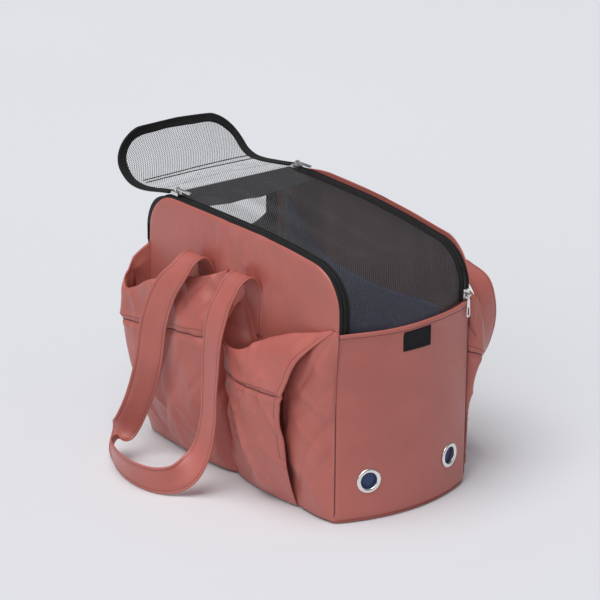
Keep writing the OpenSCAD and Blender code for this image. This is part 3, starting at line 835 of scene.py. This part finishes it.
def top_mesh():
    """Black see-through mesh over the cabin, with the soft ripples that its zips pull in."""
    cols = 70
    v = np.linspace(-1, 1, cols)
    grid = np.stack([top_path(k) for k in v], axis=1)
    x, y = grid[..., 0], grid[..., 1]
    inside = np.clip(1 - (y / TAPE_Y) ** 2, 0, 1)
    drop = 3.5 * inside * smoothstep(-142, -80, x) * (1 - smoothstep(110, 175, x))
    waves = 0.9 * np.sin(y / 7.5 + 1.3 * np.sin(x / 60)) * inside * (1 - smoothstep(90, 170, x))
    at_hinge = 1 - smoothstep(HINGE_X, HINGE_X + 26, x)
    grid = settle(grid)
    grid[..., 2] -= drop - waves
    grid[..., 2] += (HINGE_Z - 0.2 - grid[..., 2]) * at_hinge
    grid[0, :, 0] = HINGE_X + 0.2
    grid = grid[:, ::-1]
    # Its mesh colour is lighter than the flap's: painted sheen.
    obj = cloth("top_mesh_cloth", grid, 0.9, NET_WITH_PAINTED_SHEEN)
    finish_piece(obj, "top_mesh")
    band = grid[:44].copy()
    band[..., 2] -= 1.6
    band = even_rows(band, HINGE_X + 1, HINGE_X + 57)
    obj = cloth("hinge_band_cloth", band, 0.5, BAND)
    finish_piece(obj, "hinge_band")


def even_rows(grid, x0, x1):
    """The part of a grid between two places in x, resampled."""
    x = grid[:, grid.shape[1] // 2, 0]
    want = np.linspace(max(x0, x.min()), min(x1, x.max()), 24)
    values = [np.interp(want, x, column) for column in grid.reshape(len(grid), -1).T]
    return np.stack(values, axis=-1).reshape(len(want), -1, 3)


ZIP_PROFILE = [
    (-98.2, -2.4), (-98.0, -0.6), (-97.2, 0.9), (-95.9, 1.5), (-94.7, 1.0), (-93.9, 0.1),
    (-91.0, 0.0), (-88.1, 0.1), (-87.3, 1.0), (-86.1, 1.6), (-84.8, 1.1), (-83.8, 0.2), (-83.2, -1.2),
]  # fmt: skip


def outline_frame(path):
    """Outward direction in x and z at each point of a side path."""
    along = unit(np.gradient(path, axis=0))
    return pack(-along[:, 1], along[:, 0])


def zip_tapes():
    """Zip tape along each long side, folded into a ridge on both sides of the coil."""
    for side, name in SIDES.items():
        path = side_path(0, ZIP_START_Z, RIM, 260)
        out = outline_frame(path)
        ring = curve(ZIP_PROFILE, 40)
        grid = np.zeros((len(path), len(ring), 3))
        far_corner = 5.5 * (1 - smoothstep(-172, -142, path[:, 0]))
        for j, (y, h) in enumerate(ring):
            stand = far_corner * smoothstep(-2.4, -0.4, h)
            lap = path + out * (h + stand)[:, None]
            grid[:, j] = pack(lap[:, 0], -side * y, lap[:, 1])
        if side < 0:
            grid = grid[:, ::-1]
        obj = cloth(name + "_zip_tape_cloth", settle(grid), 0.7, TAPE)
        finish_piece(obj, name + "_zip_tape")


TOOTH_PITCH = 1.75


def zip_coils():
    """Moulded coil: two rows of loops that mesh, and one row where the zip is open."""
    for side, name in SIDES.items():
        path = side_path(0.75, ZIP_START_Z, RIM + 1, 4000)
        count = int(length_of(path) / TOOTH_PITCH)
        p = even(path, count)
        out = outline_frame(p)
        centres, along = [], []
        for row, shift in ((-1, 0), (1, 1)):
            keep = np.arange(count) % 2 == shift
            if row == 1:
                keep &= p[:, 0] > -132
            y = side * (COIL_Y - row * 0.85)
            centres.append(pack(p[keep, 0], y, p[keep, 1]))
            along.append(out[keep])
        c = np.concatenate(centres)
        o = np.concatenate(along)
        o = pack(o[:, 0], 0, o[:, 1])
        across = np.broadcast_to([0.0, 1.0, 0.0], c.shape)
        obj = beads(name + "_zip_teeth", settle(c), across, o, (2.5, 2.3, 1.3), COIL)
        finish_piece(obj, name + "_zip_coil")


def doorway_tape():
    """Black bound edge of the doorway in the far end, with the body half of the zip."""
    a = np.linspace(0, math.pi / 2, 16)
    cy, cz = DOOR_HALF - CORNER_R, DOOR_Z + CORNER_R
    low_left = pack(-cy - CORNER_R * np.cos(a), cz - CORNER_R * np.sin(a))
    low_right = pack(cy + CORNER_R * np.sin(a), cz - CORNER_R * np.cos(a))
    edge = even(np.concatenate([low_left, low_right]), 150)
    outward = unit(np.gradient(edge, axis=0))
    down = pack(outward[:, 1], -outward[:, 0])
    profile = [(1.2, 11.0), (1.4, 6), (1.6, 2), (1.2, -0.6), (0.2, -1.6), (-1.6, -1.9), (-3.4, -1.2),
               (-4.6, 0.6), (-5.0, 5), (-5.0, 12)]  # fmt: skip
    grid = np.zeros((len(edge), len(profile), 3))
    for j, (out, away) in enumerate(profile):
        yz = edge + down * away
        y = np.clip(yz[:, 0], -HALF_W + 1, HALF_W - 1)
        grid[:, j] = pack(-(end_x(y) + out), y, yz[:, 1])
    grid = surface(grid[:, ::-1], 150, 28)
    obj = cloth("doorway_tape", settle(grid), 0.6, TAPE)
    finish_piece(obj, "far_rim_tape")


# ------------------------------------------------------------------ flap

FLAP_HALF = 96.5
FLAP_LEN = 148.0
FLAP_R = 46.0
FLAP_BIND = 11.0
FLAP_PROFILES = {
    -1: [(-142.5, 316.6), (-160, 313.5), (-183, 309), (-206, 306.6), (-226, 309), (-241, 318),
         (-250, 330), (-254.5, 345), (-255.5, 364)],
    0: [(-142.5, 317.2), (-160, 315), (-182, 311.5), (-203, 309), (-222, 311.5), (-237, 321),
        (-247, 334), (-255, 349), (-262, 365)],
    1: [(-142.5, 316.8), (-160, 314), (-182, 311), (-203, 308.5), (-223, 308.5), (-240, 314),
        (-252, 325), (-262, 339), (-272, 355)],
}  # fmt: skip


def flap_point(s, y):
    """Place on the open flap: s runs from the hinge to the free edge, y across."""
    sides = {k: even(curve(p, 200), 300) for k, p in FLAP_PROFILES.items()}
    t = np.clip(np.asarray(s, float) / FLAP_LEN, 0, 1) * 299
    w = np.asarray(y, float) / FLAP_HALF

    def at(k, axis):
        return np.interp(t, np.arange(300), sides[k][:, axis])

    low_share = np.clip(-w, 0, 1) ** 1.3
    high_share = np.clip(w, 0, 1) ** 1.3
    x = at(0, 0) + (at(-1, 0) - at(0, 0)) * low_share + (at(1, 0) - at(0, 0)) * high_share
    z = at(0, 1) + (at(-1, 1) - at(0, 1)) * low_share + (at(1, 1) - at(0, 1)) * high_share
    return pack(x, np.asarray(y, float), z)


def flap_edge(count):
    """Flat outline of the flap from the hinge round the free edge and back, as (s, y)."""
    a = np.linspace(0, math.pi / 2, 20)
    r = FLAP_R
    left = pack(FLAP_LEN - r + r * np.sin(a), -FLAP_HALF + r - r * np.cos(a))
    right = pack(FLAP_LEN - r + r * np.cos(a), FLAP_HALF - r + r * np.sin(a))
    ring = np.concatenate([[[0, -FLAP_HALF]], left, right, [[0, FLAP_HALF]]])
    return even(ring, count)


FLAP_CUT = 34.0


def flap_net(name, s0, s1, replaces):
    """Mesh of the flap between two lengths, reaching under the binding."""
    rows, cols = 60, 90
    s = np.linspace(s0, s1, rows)
    inset = FLAP_BIND * 0.6
    r = FLAP_R - inset
    over = np.clip(s - (FLAP_LEN - FLAP_R), 0, r - 0.3)
    half = FLAP_HALF - FLAP_R + np.sqrt(np.maximum(r**2 - over**2, 0))
    y = half[:, None] * np.linspace(-1, 1, cols)[None]
    ss = np.broadcast_to(np.minimum(s, FLAP_LEN - inset)[:, None], y.shape)
    grid = flap_point(ss, y)
    wave = 0.8 * np.sin(y / 19 + ss / 23) + 1.3 * ripple(pack(ss, y, 0), 33, 51)
    n = normals(grid)
    grid = grid + n * (wave * smoothstep(0, 20, ss))[..., None]
    uv = pack(y, ss) * MM
    obj = cloth(name, grid, 0.8, FLAP_NET, uv)
    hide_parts(*replaces)
    return obj


def flap_strip(name, ring, replaces):
    """Folded binding along a stretch of the flap's outline."""
    along = unit(np.gradient(ring, axis=0))
    inward = pack(-along[:, 1], along[:, 0])
    if (inward[len(ring) // 2] @ (np.array([60.0, 0.0]) - ring[len(ring) // 2])) < 0:
        inward = -inward
    upper = [(FLAP_BIND, 0.7), (FLAP_BIND - 1.5, 1.3), (7, 1.2), (3.2, 1.0), (1.6, 1.7), (0, 1.5)]
    profile = upper + [(-0.9, 0)] + [(inset, -up) for inset, up in upper[::-1]]
    wavy = 0.35 * np.sin(np.arange(len(ring)) / 6.0) + 0.15 * np.sin(np.arange(len(ring)) / 2.9)
    rows = []
    for inset, up in profile:
        more = wavy * (inset / FLAP_BIND) ** 2 if inset > 0 else 0 * wavy
        flat = ring + inward * (inset + more)[:, None]
        p = flap_point(flat[:, 0], flat[:, 1])
        dx = flap_point(flat[:, 0] + 1, flat[:, 1]) - flap_point(flat[:, 0] - 1, flat[:, 1])
        dy = flap_point(flat[:, 0], flat[:, 1] + 1) - flap_point(flat[:, 0], flat[:, 1] - 1)
        n = unit(np.cross(dy, dx))
        rows.append(p + n * up)
    obj = loft(name, np.stack(rows, axis=1), TAPE)
    if replaces:
        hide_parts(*replaces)
    return obj


def flap():
    """Open end flap: a part between the hinge and the crease, and a part beyond the crease."""
    ring = flap_edge(241)
    cut_at = [(FLAP_CUT, -FLAP_HALF), (FLAP_CUT, FLAP_HALF)]
    left = even(np.array([[0, -FLAP_HALF], cut_at[0]]), 20)
    right = even(np.array([cut_at[1], [0, FLAP_HALF]]), 20)
    rest = np.concatenate([[cut_at[0]], ring[ring[:, 0] > FLAP_CUT], [cut_at[1]]])
    rest = even(rest, 230)
    pieces = [
        (flap_net("flap_hinge_mesh", 0, FLAP_CUT, ["flap_inner_mesh"]), "hinge"),
        (flap_strip("flap_hinge_binding_front", left, ["flap_inner_binding"]), "hinge"),
        (flap_strip("flap_hinge_binding_rear", right, []), "hinge"),
        (flap_net("flap_mesh", FLAP_CUT, FLAP_LEN, ["flap_outer_mesh"]), "crease"),
        (flap_strip("flap_binding", rest, ["flap_outer_binding"]), "crease"),
    ]
    for name, start, slant in (("lower", 68.5, 0), ("upper", 75.5, 4)):
        y = np.linspace(-80, 84, 90)
        s = start + slant * smoothstep(-40, 84, y)
        p = flap_point(s, y) + [0, 0, 0.9]
        up = np.broadcast_to([0.0, 0.0, 1.0], p.shape)
        across = np.cross(unit(np.gradient(p, axis=0)), up)
        obj = sweep("flap_crease_seam_" + name, p, across, up, oval(1.2, 1.3, 8), TAPE)
        pieces.append((obj, "crease"))
    for obj, where in pieces:
        if where == "hinge":
            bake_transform(obj)
        else:
            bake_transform(obj)


# ------------------------------------------------------------------ label and vents


def label():
    """Plain woven patch with a turned edge, sewn on under the rim."""
    lo, hi = low("label_patch"), high("label_patch")
    rows, cols = 24, 36
    z = np.linspace(lo[2], hi[2], rows)[:, None]
    y = np.linspace(lo[1], hi[1], cols)[None]
    zz, yy = np.broadcast_arrays(z, y)
    edge = np.minimum(np.minimum(zz - lo[2], hi[2] - zz), np.minimum(yy - lo[1], hi[1] - yy))
    raised = 1.6 - 1.0 * roll(edge, 1.6) / 1.6 - 0.35 * smoothstep(2.5, 4.0, edge)
    soft = 0.25 * ripple(pack(0, yy, zz), 14, 61)
    outer = pack(end_x(yy) + raised + soft, yy, zz)
    inner = pack(end_x(yy) - 0.6, yy, zz)
    finish_piece(slab("label_cloth", outer, inner, LABEL), "label_patch")
    m = 3.0
    corners = np.array([[lo[1] + m, lo[2] + m], [hi[1] - m, lo[2] + m], [hi[1] - m, hi[2] - m],
                        [lo[1] + m, hi[2] - m], [lo[1] + m, lo[2] + m]])  # fmt: skip
    path = even(corners, 200)
    line = pack(end_x(path[:, 0]) + 1.45, path[:, 0], path[:, 1])
    out = unit(pack(line[:, 0] - END_CX, line[:, 1], 0))
    finish_piece(stitches("label_stitches", line, out, TAPE))


# ------------------------------------------------------------------ pockets

# Control points (x, y, z) of the front pockets. Rows run from the bottom to the mouth.
# Near pocket: columns from the divider to the free side hem.
NEAR_POCKET = [
    [(-1, -100.5, 3), (10, -103, 3), (30, -107, 3), (60, -109, 3), (92, -107.5, 3), (117, -104, 3)],
    [(-1, -101, 30), (10, -109, 30), (36, -115, 30), (70, -126, 30), (97, -120, 30), (119, -114, 28)],
    [(0, -101, 62), (7, -114, 62), (31, -121, 62), (64, -138, 62), (100, -132, 62), (124, -125, 60)],
    [(1, -101, 95), (5, -116, 95), (25, -127, 95), (54, -142, 96), (100, -138, 94), (126, -131, 92)],
    [(8, -101, 125), (8, -117, 125), (22, -133, 124), (50, -143, 124), (98, -142, 122), (126, -138, 118)],
    [(24, -101, 152), (16, -115, 150), (25, -136, 147), (56, -142.5, 144), (94, -143, 145), (131, -140, 147)],
    [(38, -101, 182), (24, -116, 177), (25, -138, 167), (55, -143, 163), (92, -140, 172), (140, -138, 172)],
    [(29, -101, 207), (21, -118, 199), (24, -140, 180), (54, -142, 176), (88, -134, 196), (152, -130, 202)],
    [(14, -101.5, 233), (16, -117, 220), (26, -141, 189), (54, -139, 184), (90, -126, 207), (178, -103, 236)],
]
# Side of the near pocket: columns from behind the hem to the body's corner seam.
NEAR_GUSSET = [
    [(102, -100.5, 3), (120, -102, 3), (141, -103.5, 3), (162, -102.6, 3), (178.5, -98.8, 3)],
    [(104, -106, 40), (123, -110, 40), (144, -113, 40), (165, -110, 40), (179.5, -98.6, 40)],
    [(108, -114, 80), (126, -118, 80), (147, -118, 80), (166, -112, 80), (180, -98.6, 80)],
    [(110, -119, 120), (128, -120.5, 120), (147, -118, 119), (166, -111.5, 121), (180, -98.6, 120)],
    [(117, -122, 160), (135, -121, 160), (152, -118, 159), (169, -112, 163), (180.6, -98.8, 160)],
    [(132, -122, 198), (148, -119.5, 198), (161, -117, 200), (173, -110.5, 203), (182.5, -99.2, 200)],
    [(156, -112, 224), (166, -111, 224), (172, -109, 225), (179, -105, 226), (184.8, -99.8, 226)],
    [(172, -104, 236), (175, -103.4, 236), (178, -102.6, 236), (181, -101.6, 236), (185, -100.4, 236)],
]
# Far pocket: columns from the body's far corner seam round the slack side to the divider.
FAR_POCKET = [
    [(-176.5, -98.2, 3), (-176, -102, 3), (-164, -105, 3), (-124, -108, 3),
     (-80, -109, 3), (-28, -107, 3), (-2, -100.5, 3)],
    [(-176.5, -98.2, 35), (-179, -109, 35), (-167, -118, 35), (-127, -122, 35),
     (-82, -125, 35), (-24, -119, 35), (-3, -101, 35)],
    [(-176.5, -98.2, 78), (-181, -113, 78), (-170, -130, 78), (-128, -134, 78),
     (-82, -136, 78), (-19, -129, 78), (-4, -101, 78)],
    [(-176.5, -98.2, 114), (-183, -116, 114), (-174, -136, 114), (-130, -139, 114),
     (-82, -140, 114), (-17, -133, 114), (-5, -101, 114)],
    [(-176.5, -98.2, 150), (-186, -119, 148), (-178, -139, 146), (-130, -142, 150),
     (-82, -142, 156), (-19, -134, 160), (-6, -101, 160)],
    [(-176.5, -98.2, 196), (-188, -121, 184), (-180, -141, 172), (-130, -142, 184),
     (-84, -140, 194), (-26, -128, 204), (-9, -101, 208)],
    [(-176.5, -98.2, 228), (-187, -122, 210), (-178, -142, 188), (-124, -141, 210),
     (-84, -134, 220), (-38, -119, 230), (-12, -102, 236)],
    [(-176.5, -98.2, 246), (-186, -123, 222), (-175, -141, 195), (-121, -139, 220),
     (-84, -129, 231), (-44, -116, 241), (-17, -104, 254)],
]  # fmt: skip
MOUTH_ROLL = [(2.2, 1.4), (5.0, 0.6), (7.0, -3.5), (7.5, -14.0), (6.5, -36.0)]


def draped(grid, seed, strength=1.0):
    """Soft folds over a pocket's surface: long ones that hang, small ones and sagging ones near the mouth."""
    rows, cols = grid.shape[:2]
    n = normals(grid)
    u = np.linspace(0, 1, cols)[None]
    v = np.linspace(0, 1, rows)[:, None]
    inside = smoothstep(0, 0.10, u) * smoothstep(0, 0.08, 1 - u) * smoothstep(0, 0.1, v)
    x, z = grid[..., 0], grid[..., 2]
    hang = ripple(pack(x + z * 0.25, z * 0.28, 0), 30, seed)
    small = ripple(pack(x - z * 0.5, z * 0.6, 0), 14, seed + 1)
    sway = ripple(pack(x * 0.45 + z * 0.8, x * 0.12, 0), 20, seed + 2)
    slack = smoothstep(0.45, 0.9, v)
    crest = creases(pack(x * 0.8 + z * 0.5, z * 0.35 - x * 0.25, 0), 34, seed + 3)
    fold = creases(pack(x * 0.9 - z * 0.45, z * 0.3, 0), 27, seed + 4)
    height = (4.4 * hang + 0.5 * small) * (0.65 + 0.35 * v) + 3.4 * sway * slack
    height = height + 2.6 * crest - 2.0 * fold
    return grid + n * (height * inside * strength)[..., None]


def sewn(grid, row):
    """Sinks a seam into a grid of points along one of its rows, with the cloth puffed on both sides."""
    v = np.abs(np.linspace(0, 1, len(grid))[:, None, None] - row)
    dip = -1.9 * np.exp(-((v / 0.008) ** 2)) + 0.9 * np.exp(-(((v - 0.03) / 0.02) ** 2))
    return grid + normals(grid) * dip


def with_mouth(grid, side):
    """Adds the facing that rolls in over the mouth and hangs inside."""
    rows = [grid]
    for back, up in MOUTH_ROLL:
        lip = grid[-1].copy()
        reach = np.maximum(HALF_W + 1.4, side * grid[-1][:, 1] - back)
        lip[:, 1] = side * reach
        lip[:, 2] += up
        rows.append(lip[None])
    return np.concatenate(rows)


def placed(control, side, turned=False):
    """Control points of a front pocket, or their mirror image for the rear, or the same turned half round."""
    c = np.array(control, float)
    c[..., 1] *= -side
    if turned:
        c[..., 0] *= -1
        c[..., 0] -= 5 * smoothstep(150, 178, c[..., 0]) * smoothstep(60, 120, c[..., 2])
        corner = 0.78 - (0.48 - 0.36 * smoothstep(70, 180, c[..., 2])) * smoothstep(100, 155, c[..., 0])
        c[..., 1] = HALF_W + np.minimum(c[..., 1] - HALF_W, 0) + np.maximum(c[..., 1] - HALF_W, 0) * corner
        return c
    return c if side < 0 else c[:, ::-1]


HEM = [(9.0, -0.1), (8.8, 0.7), (7.4, 0.95), (6.7, 0.5), (6.0, 0.95), (3.0, 1.1), (0.8, 1.0), (-0.5, 0.0),
       (-0.2, -1.6), (2.0, -2.2), (8.8, -1.9)]  # fmt: skip


def hem(name, edge, inward, out):
    """Turned and topstitched hem along the free edge of a pocket."""
    obj = sweep(name, edge, inward, out, HEM, NYLON)
    finish_piece(obj)
    finish_piece(stitches(name + "_stitches", edge + inward * 6.7 + out * 0.55, out, THREAD_AND_SEAM_SHADE, 0.2))


def seam_stitches(name, grid, row, shift):
    """Stitches beside a seam that runs along a row of the grid, and a dark line in the seam that is painted
    shade.
    """
    rows = grid.shape[0]
    at = int(round(row * (rows - 1)))
    n = normals(grid)
    gap = grid[at, 2:-2] + n[at, 2:-2] * 0.5
    across = unit(np.cross(unit(np.gradient(gap, axis=0)), n[at, 2:-2]))
    # The dark tube along the seam is painted shade in the seam's groove.
    obj = sweep(name.replace("stitches", "seam"), gap, across, n[at, 2:-2], oval(1.3, 1.3, 6), THREAD_AND_SEAM_SHADE)
    finish_piece(obj)
    line = grid[min(at + shift, rows - 1)]
    finish_piece(stitches(name, line[3:-3], n[min(at + shift, rows - 1)][3:-3], THREAD_AND_SEAM_SHADE, 0.15))


def pocket_near(side, name, seed):
    """Near pocket of a long side: slack front, open side hem and the folded gusset behind it."""
    grid = surface(placed(NEAR_POCKET, side), 120, 100)
    grid = sewn(draped(grid, seed), 0.64)
    body = with_mouth(grid, side)
    obj = cloth(name + "_near_pocket_cloth", body, CLOTH_T, NYLON)
    finish_piece(obj, name + "_near_pocket_panel", name + "_near_pocket_yoke")
    seam_stitches(name + "_near_yoke_stitches", grid, 0.64, 3)
    last, near_last = (-1, -8) if side < 0 else (0, 7)
    edge = even(grid[34:, last], 130)
    inward = unit(even(grid[34:, near_last] - grid[34:, last], 130))
    out = unit(even(normals(grid)[34:, last], 130))
    hem(name + "_near_pocket_hem", edge, inward, out)
    gusset = surface(placed(NEAR_GUSSET, side), 90, 70)
    gusset = draped(gusset, seed + 9, 0.8)
    obj = cloth(name + "_near_pocket_gusset_cloth", gusset, CLOTH_T, NYLON)
    finish_piece(obj, name + "_near_pocket_gussets")


def pocket_slack(side, name, seed, turned=False):
    """Pocket that is slack round the body's corner."""
    grid = surface(placed(FAR_POCKET, side, turned), 120, 130)
    grid = sewn(draped(grid, seed, 0.9), 0.62)
    body = with_mouth(grid, side)
    obj = cloth(name + "_pocket_cloth", body, CLOTH_T, NYLON)
    nodes = ("_pocket_panel", "_pocket_yoke", "_pocket_gussets")
    finish_piece(obj, *(name + part for part in nodes))
    seam_stitches(name + "_yoke_stitches", grid, 0.62, 3)


def pockets():
    pocket_near(-1, "front", 71)
    pocket_slack(-1, "front_far", 171)
    pocket_slack(1, "rear_near", 271, True)
    pocket_slack(1, "rear_far", 371)


# ------------------------------------------------------------------ handles

# Routes of the straps: each row is a place (x, y, z) and the way across the strap there.
ROOT_FRONT_LEFT = [
    (-58, -101.6, 190, 1, 0, 0), (-58, -101.6, 238, 1, 0, 0),
    (-59, -107, 256, 1, 0, 0), (-60, -116, 264, 1, 0, 0),
]  # fmt: skip
ROOT_FRONT_RIGHT = [
    (30, -116, 264, -1, 0, 0), (30, -107, 256, -1, 0, 0),
    (30, -101.6, 238, -1, 0, 0), (30, -101.6, 190, -1, 0, 0),
]  # fmt: skip
LOOP_FRONT = [
    (-60, -129, 260, 1, 0, 0), (-64, -139, 246, 1, 0.1, 0),
    (-78, -150, 221, 0.9, 0.4, 0), (-88, -159, 180, 0.8, 0.6, 0),
    (-93, -164, 130, 0.7, 0.7, 0), (-105, -169, 85, 0.6, 0.75, 0),
    (-121, -176, 46, 0.65, 0.7, -0.2), (-129, -188, 26, 0.85, -0.1, 0.5),
    (-115, -202, 19, 0.1, -0.2, 1), (-84, -213, 18, 0, -0.2, 1),
    (-46, -218, 18, 0, -0.2, 1), (-12, -209, 18, 0, -0.1, 1),
    (6, -188, 24, -0.3, 0.1, 0.9), (15, -168, 48, -0.9, 0.1, 0.5),
    (20, -160, 85, -1, 0.1, 0.1), (23, -158, 130, -1, 0.1, 0),
    (25, -157, 190, -1, 0, 0), (27, -150, 225, -1, -0.1, 0),
    (29, -139, 246, -1, 0, 0), (30, -129, 260, -1, 0, 0),
]  # fmt: skip
ROOT_REAR_LEFT = [
    (-48, 101.6, 190, 1, 0, 0), (-48, 101.6, 238, 1, 0, 0),
    (-48, 107, 256, 1, 0, 0), (-48, 116, 264, 1, 0, 0),
]  # fmt: skip
ROOT_REAR_RIGHT = [
    (52, 116, 264, -1, 0, 0), (50, 107, 256, -1, 0, 0),
    (48, 101.6, 238, -1, 0, 0), (48, 101.6, 190, -1, 0, 0),
]  # fmt: skip
LOOP_REAR = [
    (-48, 129, 260, 1, 0, 0), (-49, 140, 245, 1, 0, 0),
    (-54, 151, 215, 1, 0, 0), (-58, 158, 165, 1, 0.1, 0),
    (-60, 161, 110, 1, 0.2, 0), (-56, 166, 64, 1, 0.4, 0.1),
    (-44, 176, 36, 0.7, 0.5, 0.5), (-14, 185, 22, 0.1, 0.3, 0.9),
    (24, 187, 20, 0, 0.3, 0.9), (60, 181, 30, -0.2, 0.4, 0.8),
    (88, 173, 58, -0.5, 0.5, 0.6), (113, 167, 95, -0.6, 0.7, 0.3),
    (132, 164, 133, -0.4, 0.9, 0.1), (143, 163, 171, -0.2, 1, 0),
    (143, 162, 202, -0.2, 1, 0.1), (132, 160, 226, -0.3, 0.9, 0.2),
    (109, 155, 240, -0.7, 0.7, 0.1), (82, 149, 243, -0.9, 0.4, 0),
    (58, 139, 248, -1, 0, 0), (52, 129, 260, -1, 0, 0),
]  # fmt: skip

STRAP_W = 34.0
STRAP_T = 3.0
# Half cross-section: share of the half width, share of the half thickness.
STRAP_PROFILE = [(-1.0, 0.0), (-0.985, 0.62), (-0.93, 0.95), (-0.84, 0.9), (-0.78, 0.62), (-0.72, 0.86),
                 (-0.4, 0.78), (0.0, 0.7), (0.4, 0.78), (0.72, 0.86), (0.78, 0.62), (0.84, 0.9),
                 (0.93, 0.95), (0.985, 0.62), (1.0, 0.0)]  # fmt: skip


def strap(side, route, seed):
    """Folded nylon strap with a topstitched line near each edge."""
    name = SIDES[side] + "_handle"
    count = 320
    places, ways = np.array(route, float)[:, :3], np.array(route, float)[:, 3:]
    path = curve(places, 900)
    want = np.linspace(0, distance_along(path)[-1], count)
    mid = even(path, count)
    wide = unit(even(path, count, curve([unit(way) for way in ways], 900)))
    along = unit(np.gradient(mid, axis=0))
    wide = unit(wide - (wide * along).sum(-1, keepdims=True) * along)
    out = np.cross(along, wide)
    lower = [(a, -b) for a, b in STRAP_PROFILE[-2:0:-1]]
    ring = np.array(STRAP_PROFILE + lower) * [STRAP_W / 2, STRAP_T / 2]
    wave = np.array([noise.noise(Vector((t / 34.0, seed, 0))) for t in want])
    cup = 1.6 * np.array([noise.noise(Vector((t / 60.0, seed + 5, 0))) for t in want]) + 0.8
    lift = cup[:, None] * (ring[None, :, 0] / (STRAP_W / 2)) ** 2 + 0.7 * wave[:, None]
    points = mid[:, None] + wide[:, None] * ring[None, :, :1]
    points = points + out[:, None] * (ring[None, :, 1] + lift)[..., None]
    uv = pack(np.repeat(want, len(ring)) * MM, np.tile(ring[:, 0] * MM, count))
    obj = loft(name + "_strap", points, NYLON, uv)
    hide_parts(name, name + "_roots")
    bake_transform(obj)
    for edge, letter in ((-1, "a"), (1, "b")):
        for face, place in ((-1, "in"), (1, "out")):
            height = cup * 0.78**2 + 0.7 * wave + face * 0.66 * STRAP_T / 2
            line = mid + wide * (edge * 0.78 * STRAP_W / 2) + out * height[:, None]
            row = stitches(f"{name}_strap_stitch_{letter}_{place}", line, out * face, THREAD_AND_SEAM_SHADE, 0.12)
            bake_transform(row)


def handles():
    strap(-1, ROOT_FRONT_LEFT + LOOP_FRONT + ROOT_FRONT_RIGHT, 3.7)
    strap(1, ROOT_REAR_LEFT + LOOP_REAR + ROOT_REAR_RIGHT, 9.1)


# ------------------------------------------------------------------ camera, light and room

CAMERA_AT = (2.341, -1.870, 1.289)
CAMERA_TURN = 51.504
CAMERA_TILT = 19.979
CAMERA_ROLL = 0.432
LENS = 160.7


def camera():
    a, e = math.radians(CAMERA_TURN), math.radians(CAMERA_TILT)
    back = Vector((math.sin(a) * math.cos(e), -math.cos(a) * math.cos(e), math.sin(e)))
    right = Vector((math.cos(a), math.sin(a), 0))
    up = back.cross(right)
    turn = Matrix((right, up, back)).transposed().to_4x4()
    data = bpy.data.cameras.new("camera")
    data.lens = LENS
    data.sensor_width = 36
    data.clip_end = 60
    obj = bpy.data.objects.new("camera", data)
    roll_by = Matrix.Rotation(math.radians(CAMERA_ROLL), 4, "Z")
    obj.matrix_world = Matrix.Translation(CAMERA_AT) @ turn @ roll_by
    bpy.context.scene.collection.objects.link(obj)
    bpy.context.scene.camera = obj


def sun(name, towards, strength, spread, colour=(1, 1, 1)):
    """Broad soft light from one direction, given as the way to it from the bag."""
    data = bpy.data.lights.new(name, "SUN")
    data.energy = strength
    data.angle = math.radians(spread)
    data.color = colour
    obj = bpy.data.objects.new(name, data)
    obj.rotation_euler = Vector(towards).to_track_quat("Z", "Y").to_euler()
    bpy.context.scene.collection.objects.link(obj)


def lights():
    sun("key", (0.02, -0.27, 0.96), 1.88, 46, (1.0, 0.985, 0.965))
    sun("fill", (0.30, -0.70, 0.64), 0.95, 60, (0.97, 0.985, 1.0))
    world = bpy.data.worlds.new("room")
    world.use_nodes = True
    sky = world.node_tree.nodes["Background"]
    sky.inputs["Color"].default_value = (0.94, 0.955, 1.0, 1)
    sky.inputs["Strength"].default_value = 0.27
    bpy.context.scene.world = world
    bpy.context.scene.view_settings.view_transform = "Standard"


def room():
    """Plain pale floor that runs on out of view."""
    count, half = 60, 9000.0
    x = np.linspace(-half, half, count)
    grid = pack(*np.meshgrid(x, x), -0.4)
    mat, tree, shader = material("floor")
    two_tones(tree, shader, (0.735, 0.75, 0.785), (0.745, 0.76, 0.795), 0.8)
    give(shader, Roughness=0.85, Specular_IOR_Level=0.2)
    faces = quads(np.arange(count * count).reshape(count, count)).tolist()
    add_mesh("floor", grid.reshape(-1, 3), faces, mat)


# ------------------------------------------------------------------ assembly

camera()
lights()
room()
paint_nodes()
for which in (-1, 1):
    long_wall(which)
    end_wall(which)
rim_fold()
corner_seam_shade_lines()
end_linings()
long_linings()
base()
mat()
liner()
top_mesh()
zip_tapes()
zip_coils()
doorway_tape()
flap()
label()
pockets()
handles()
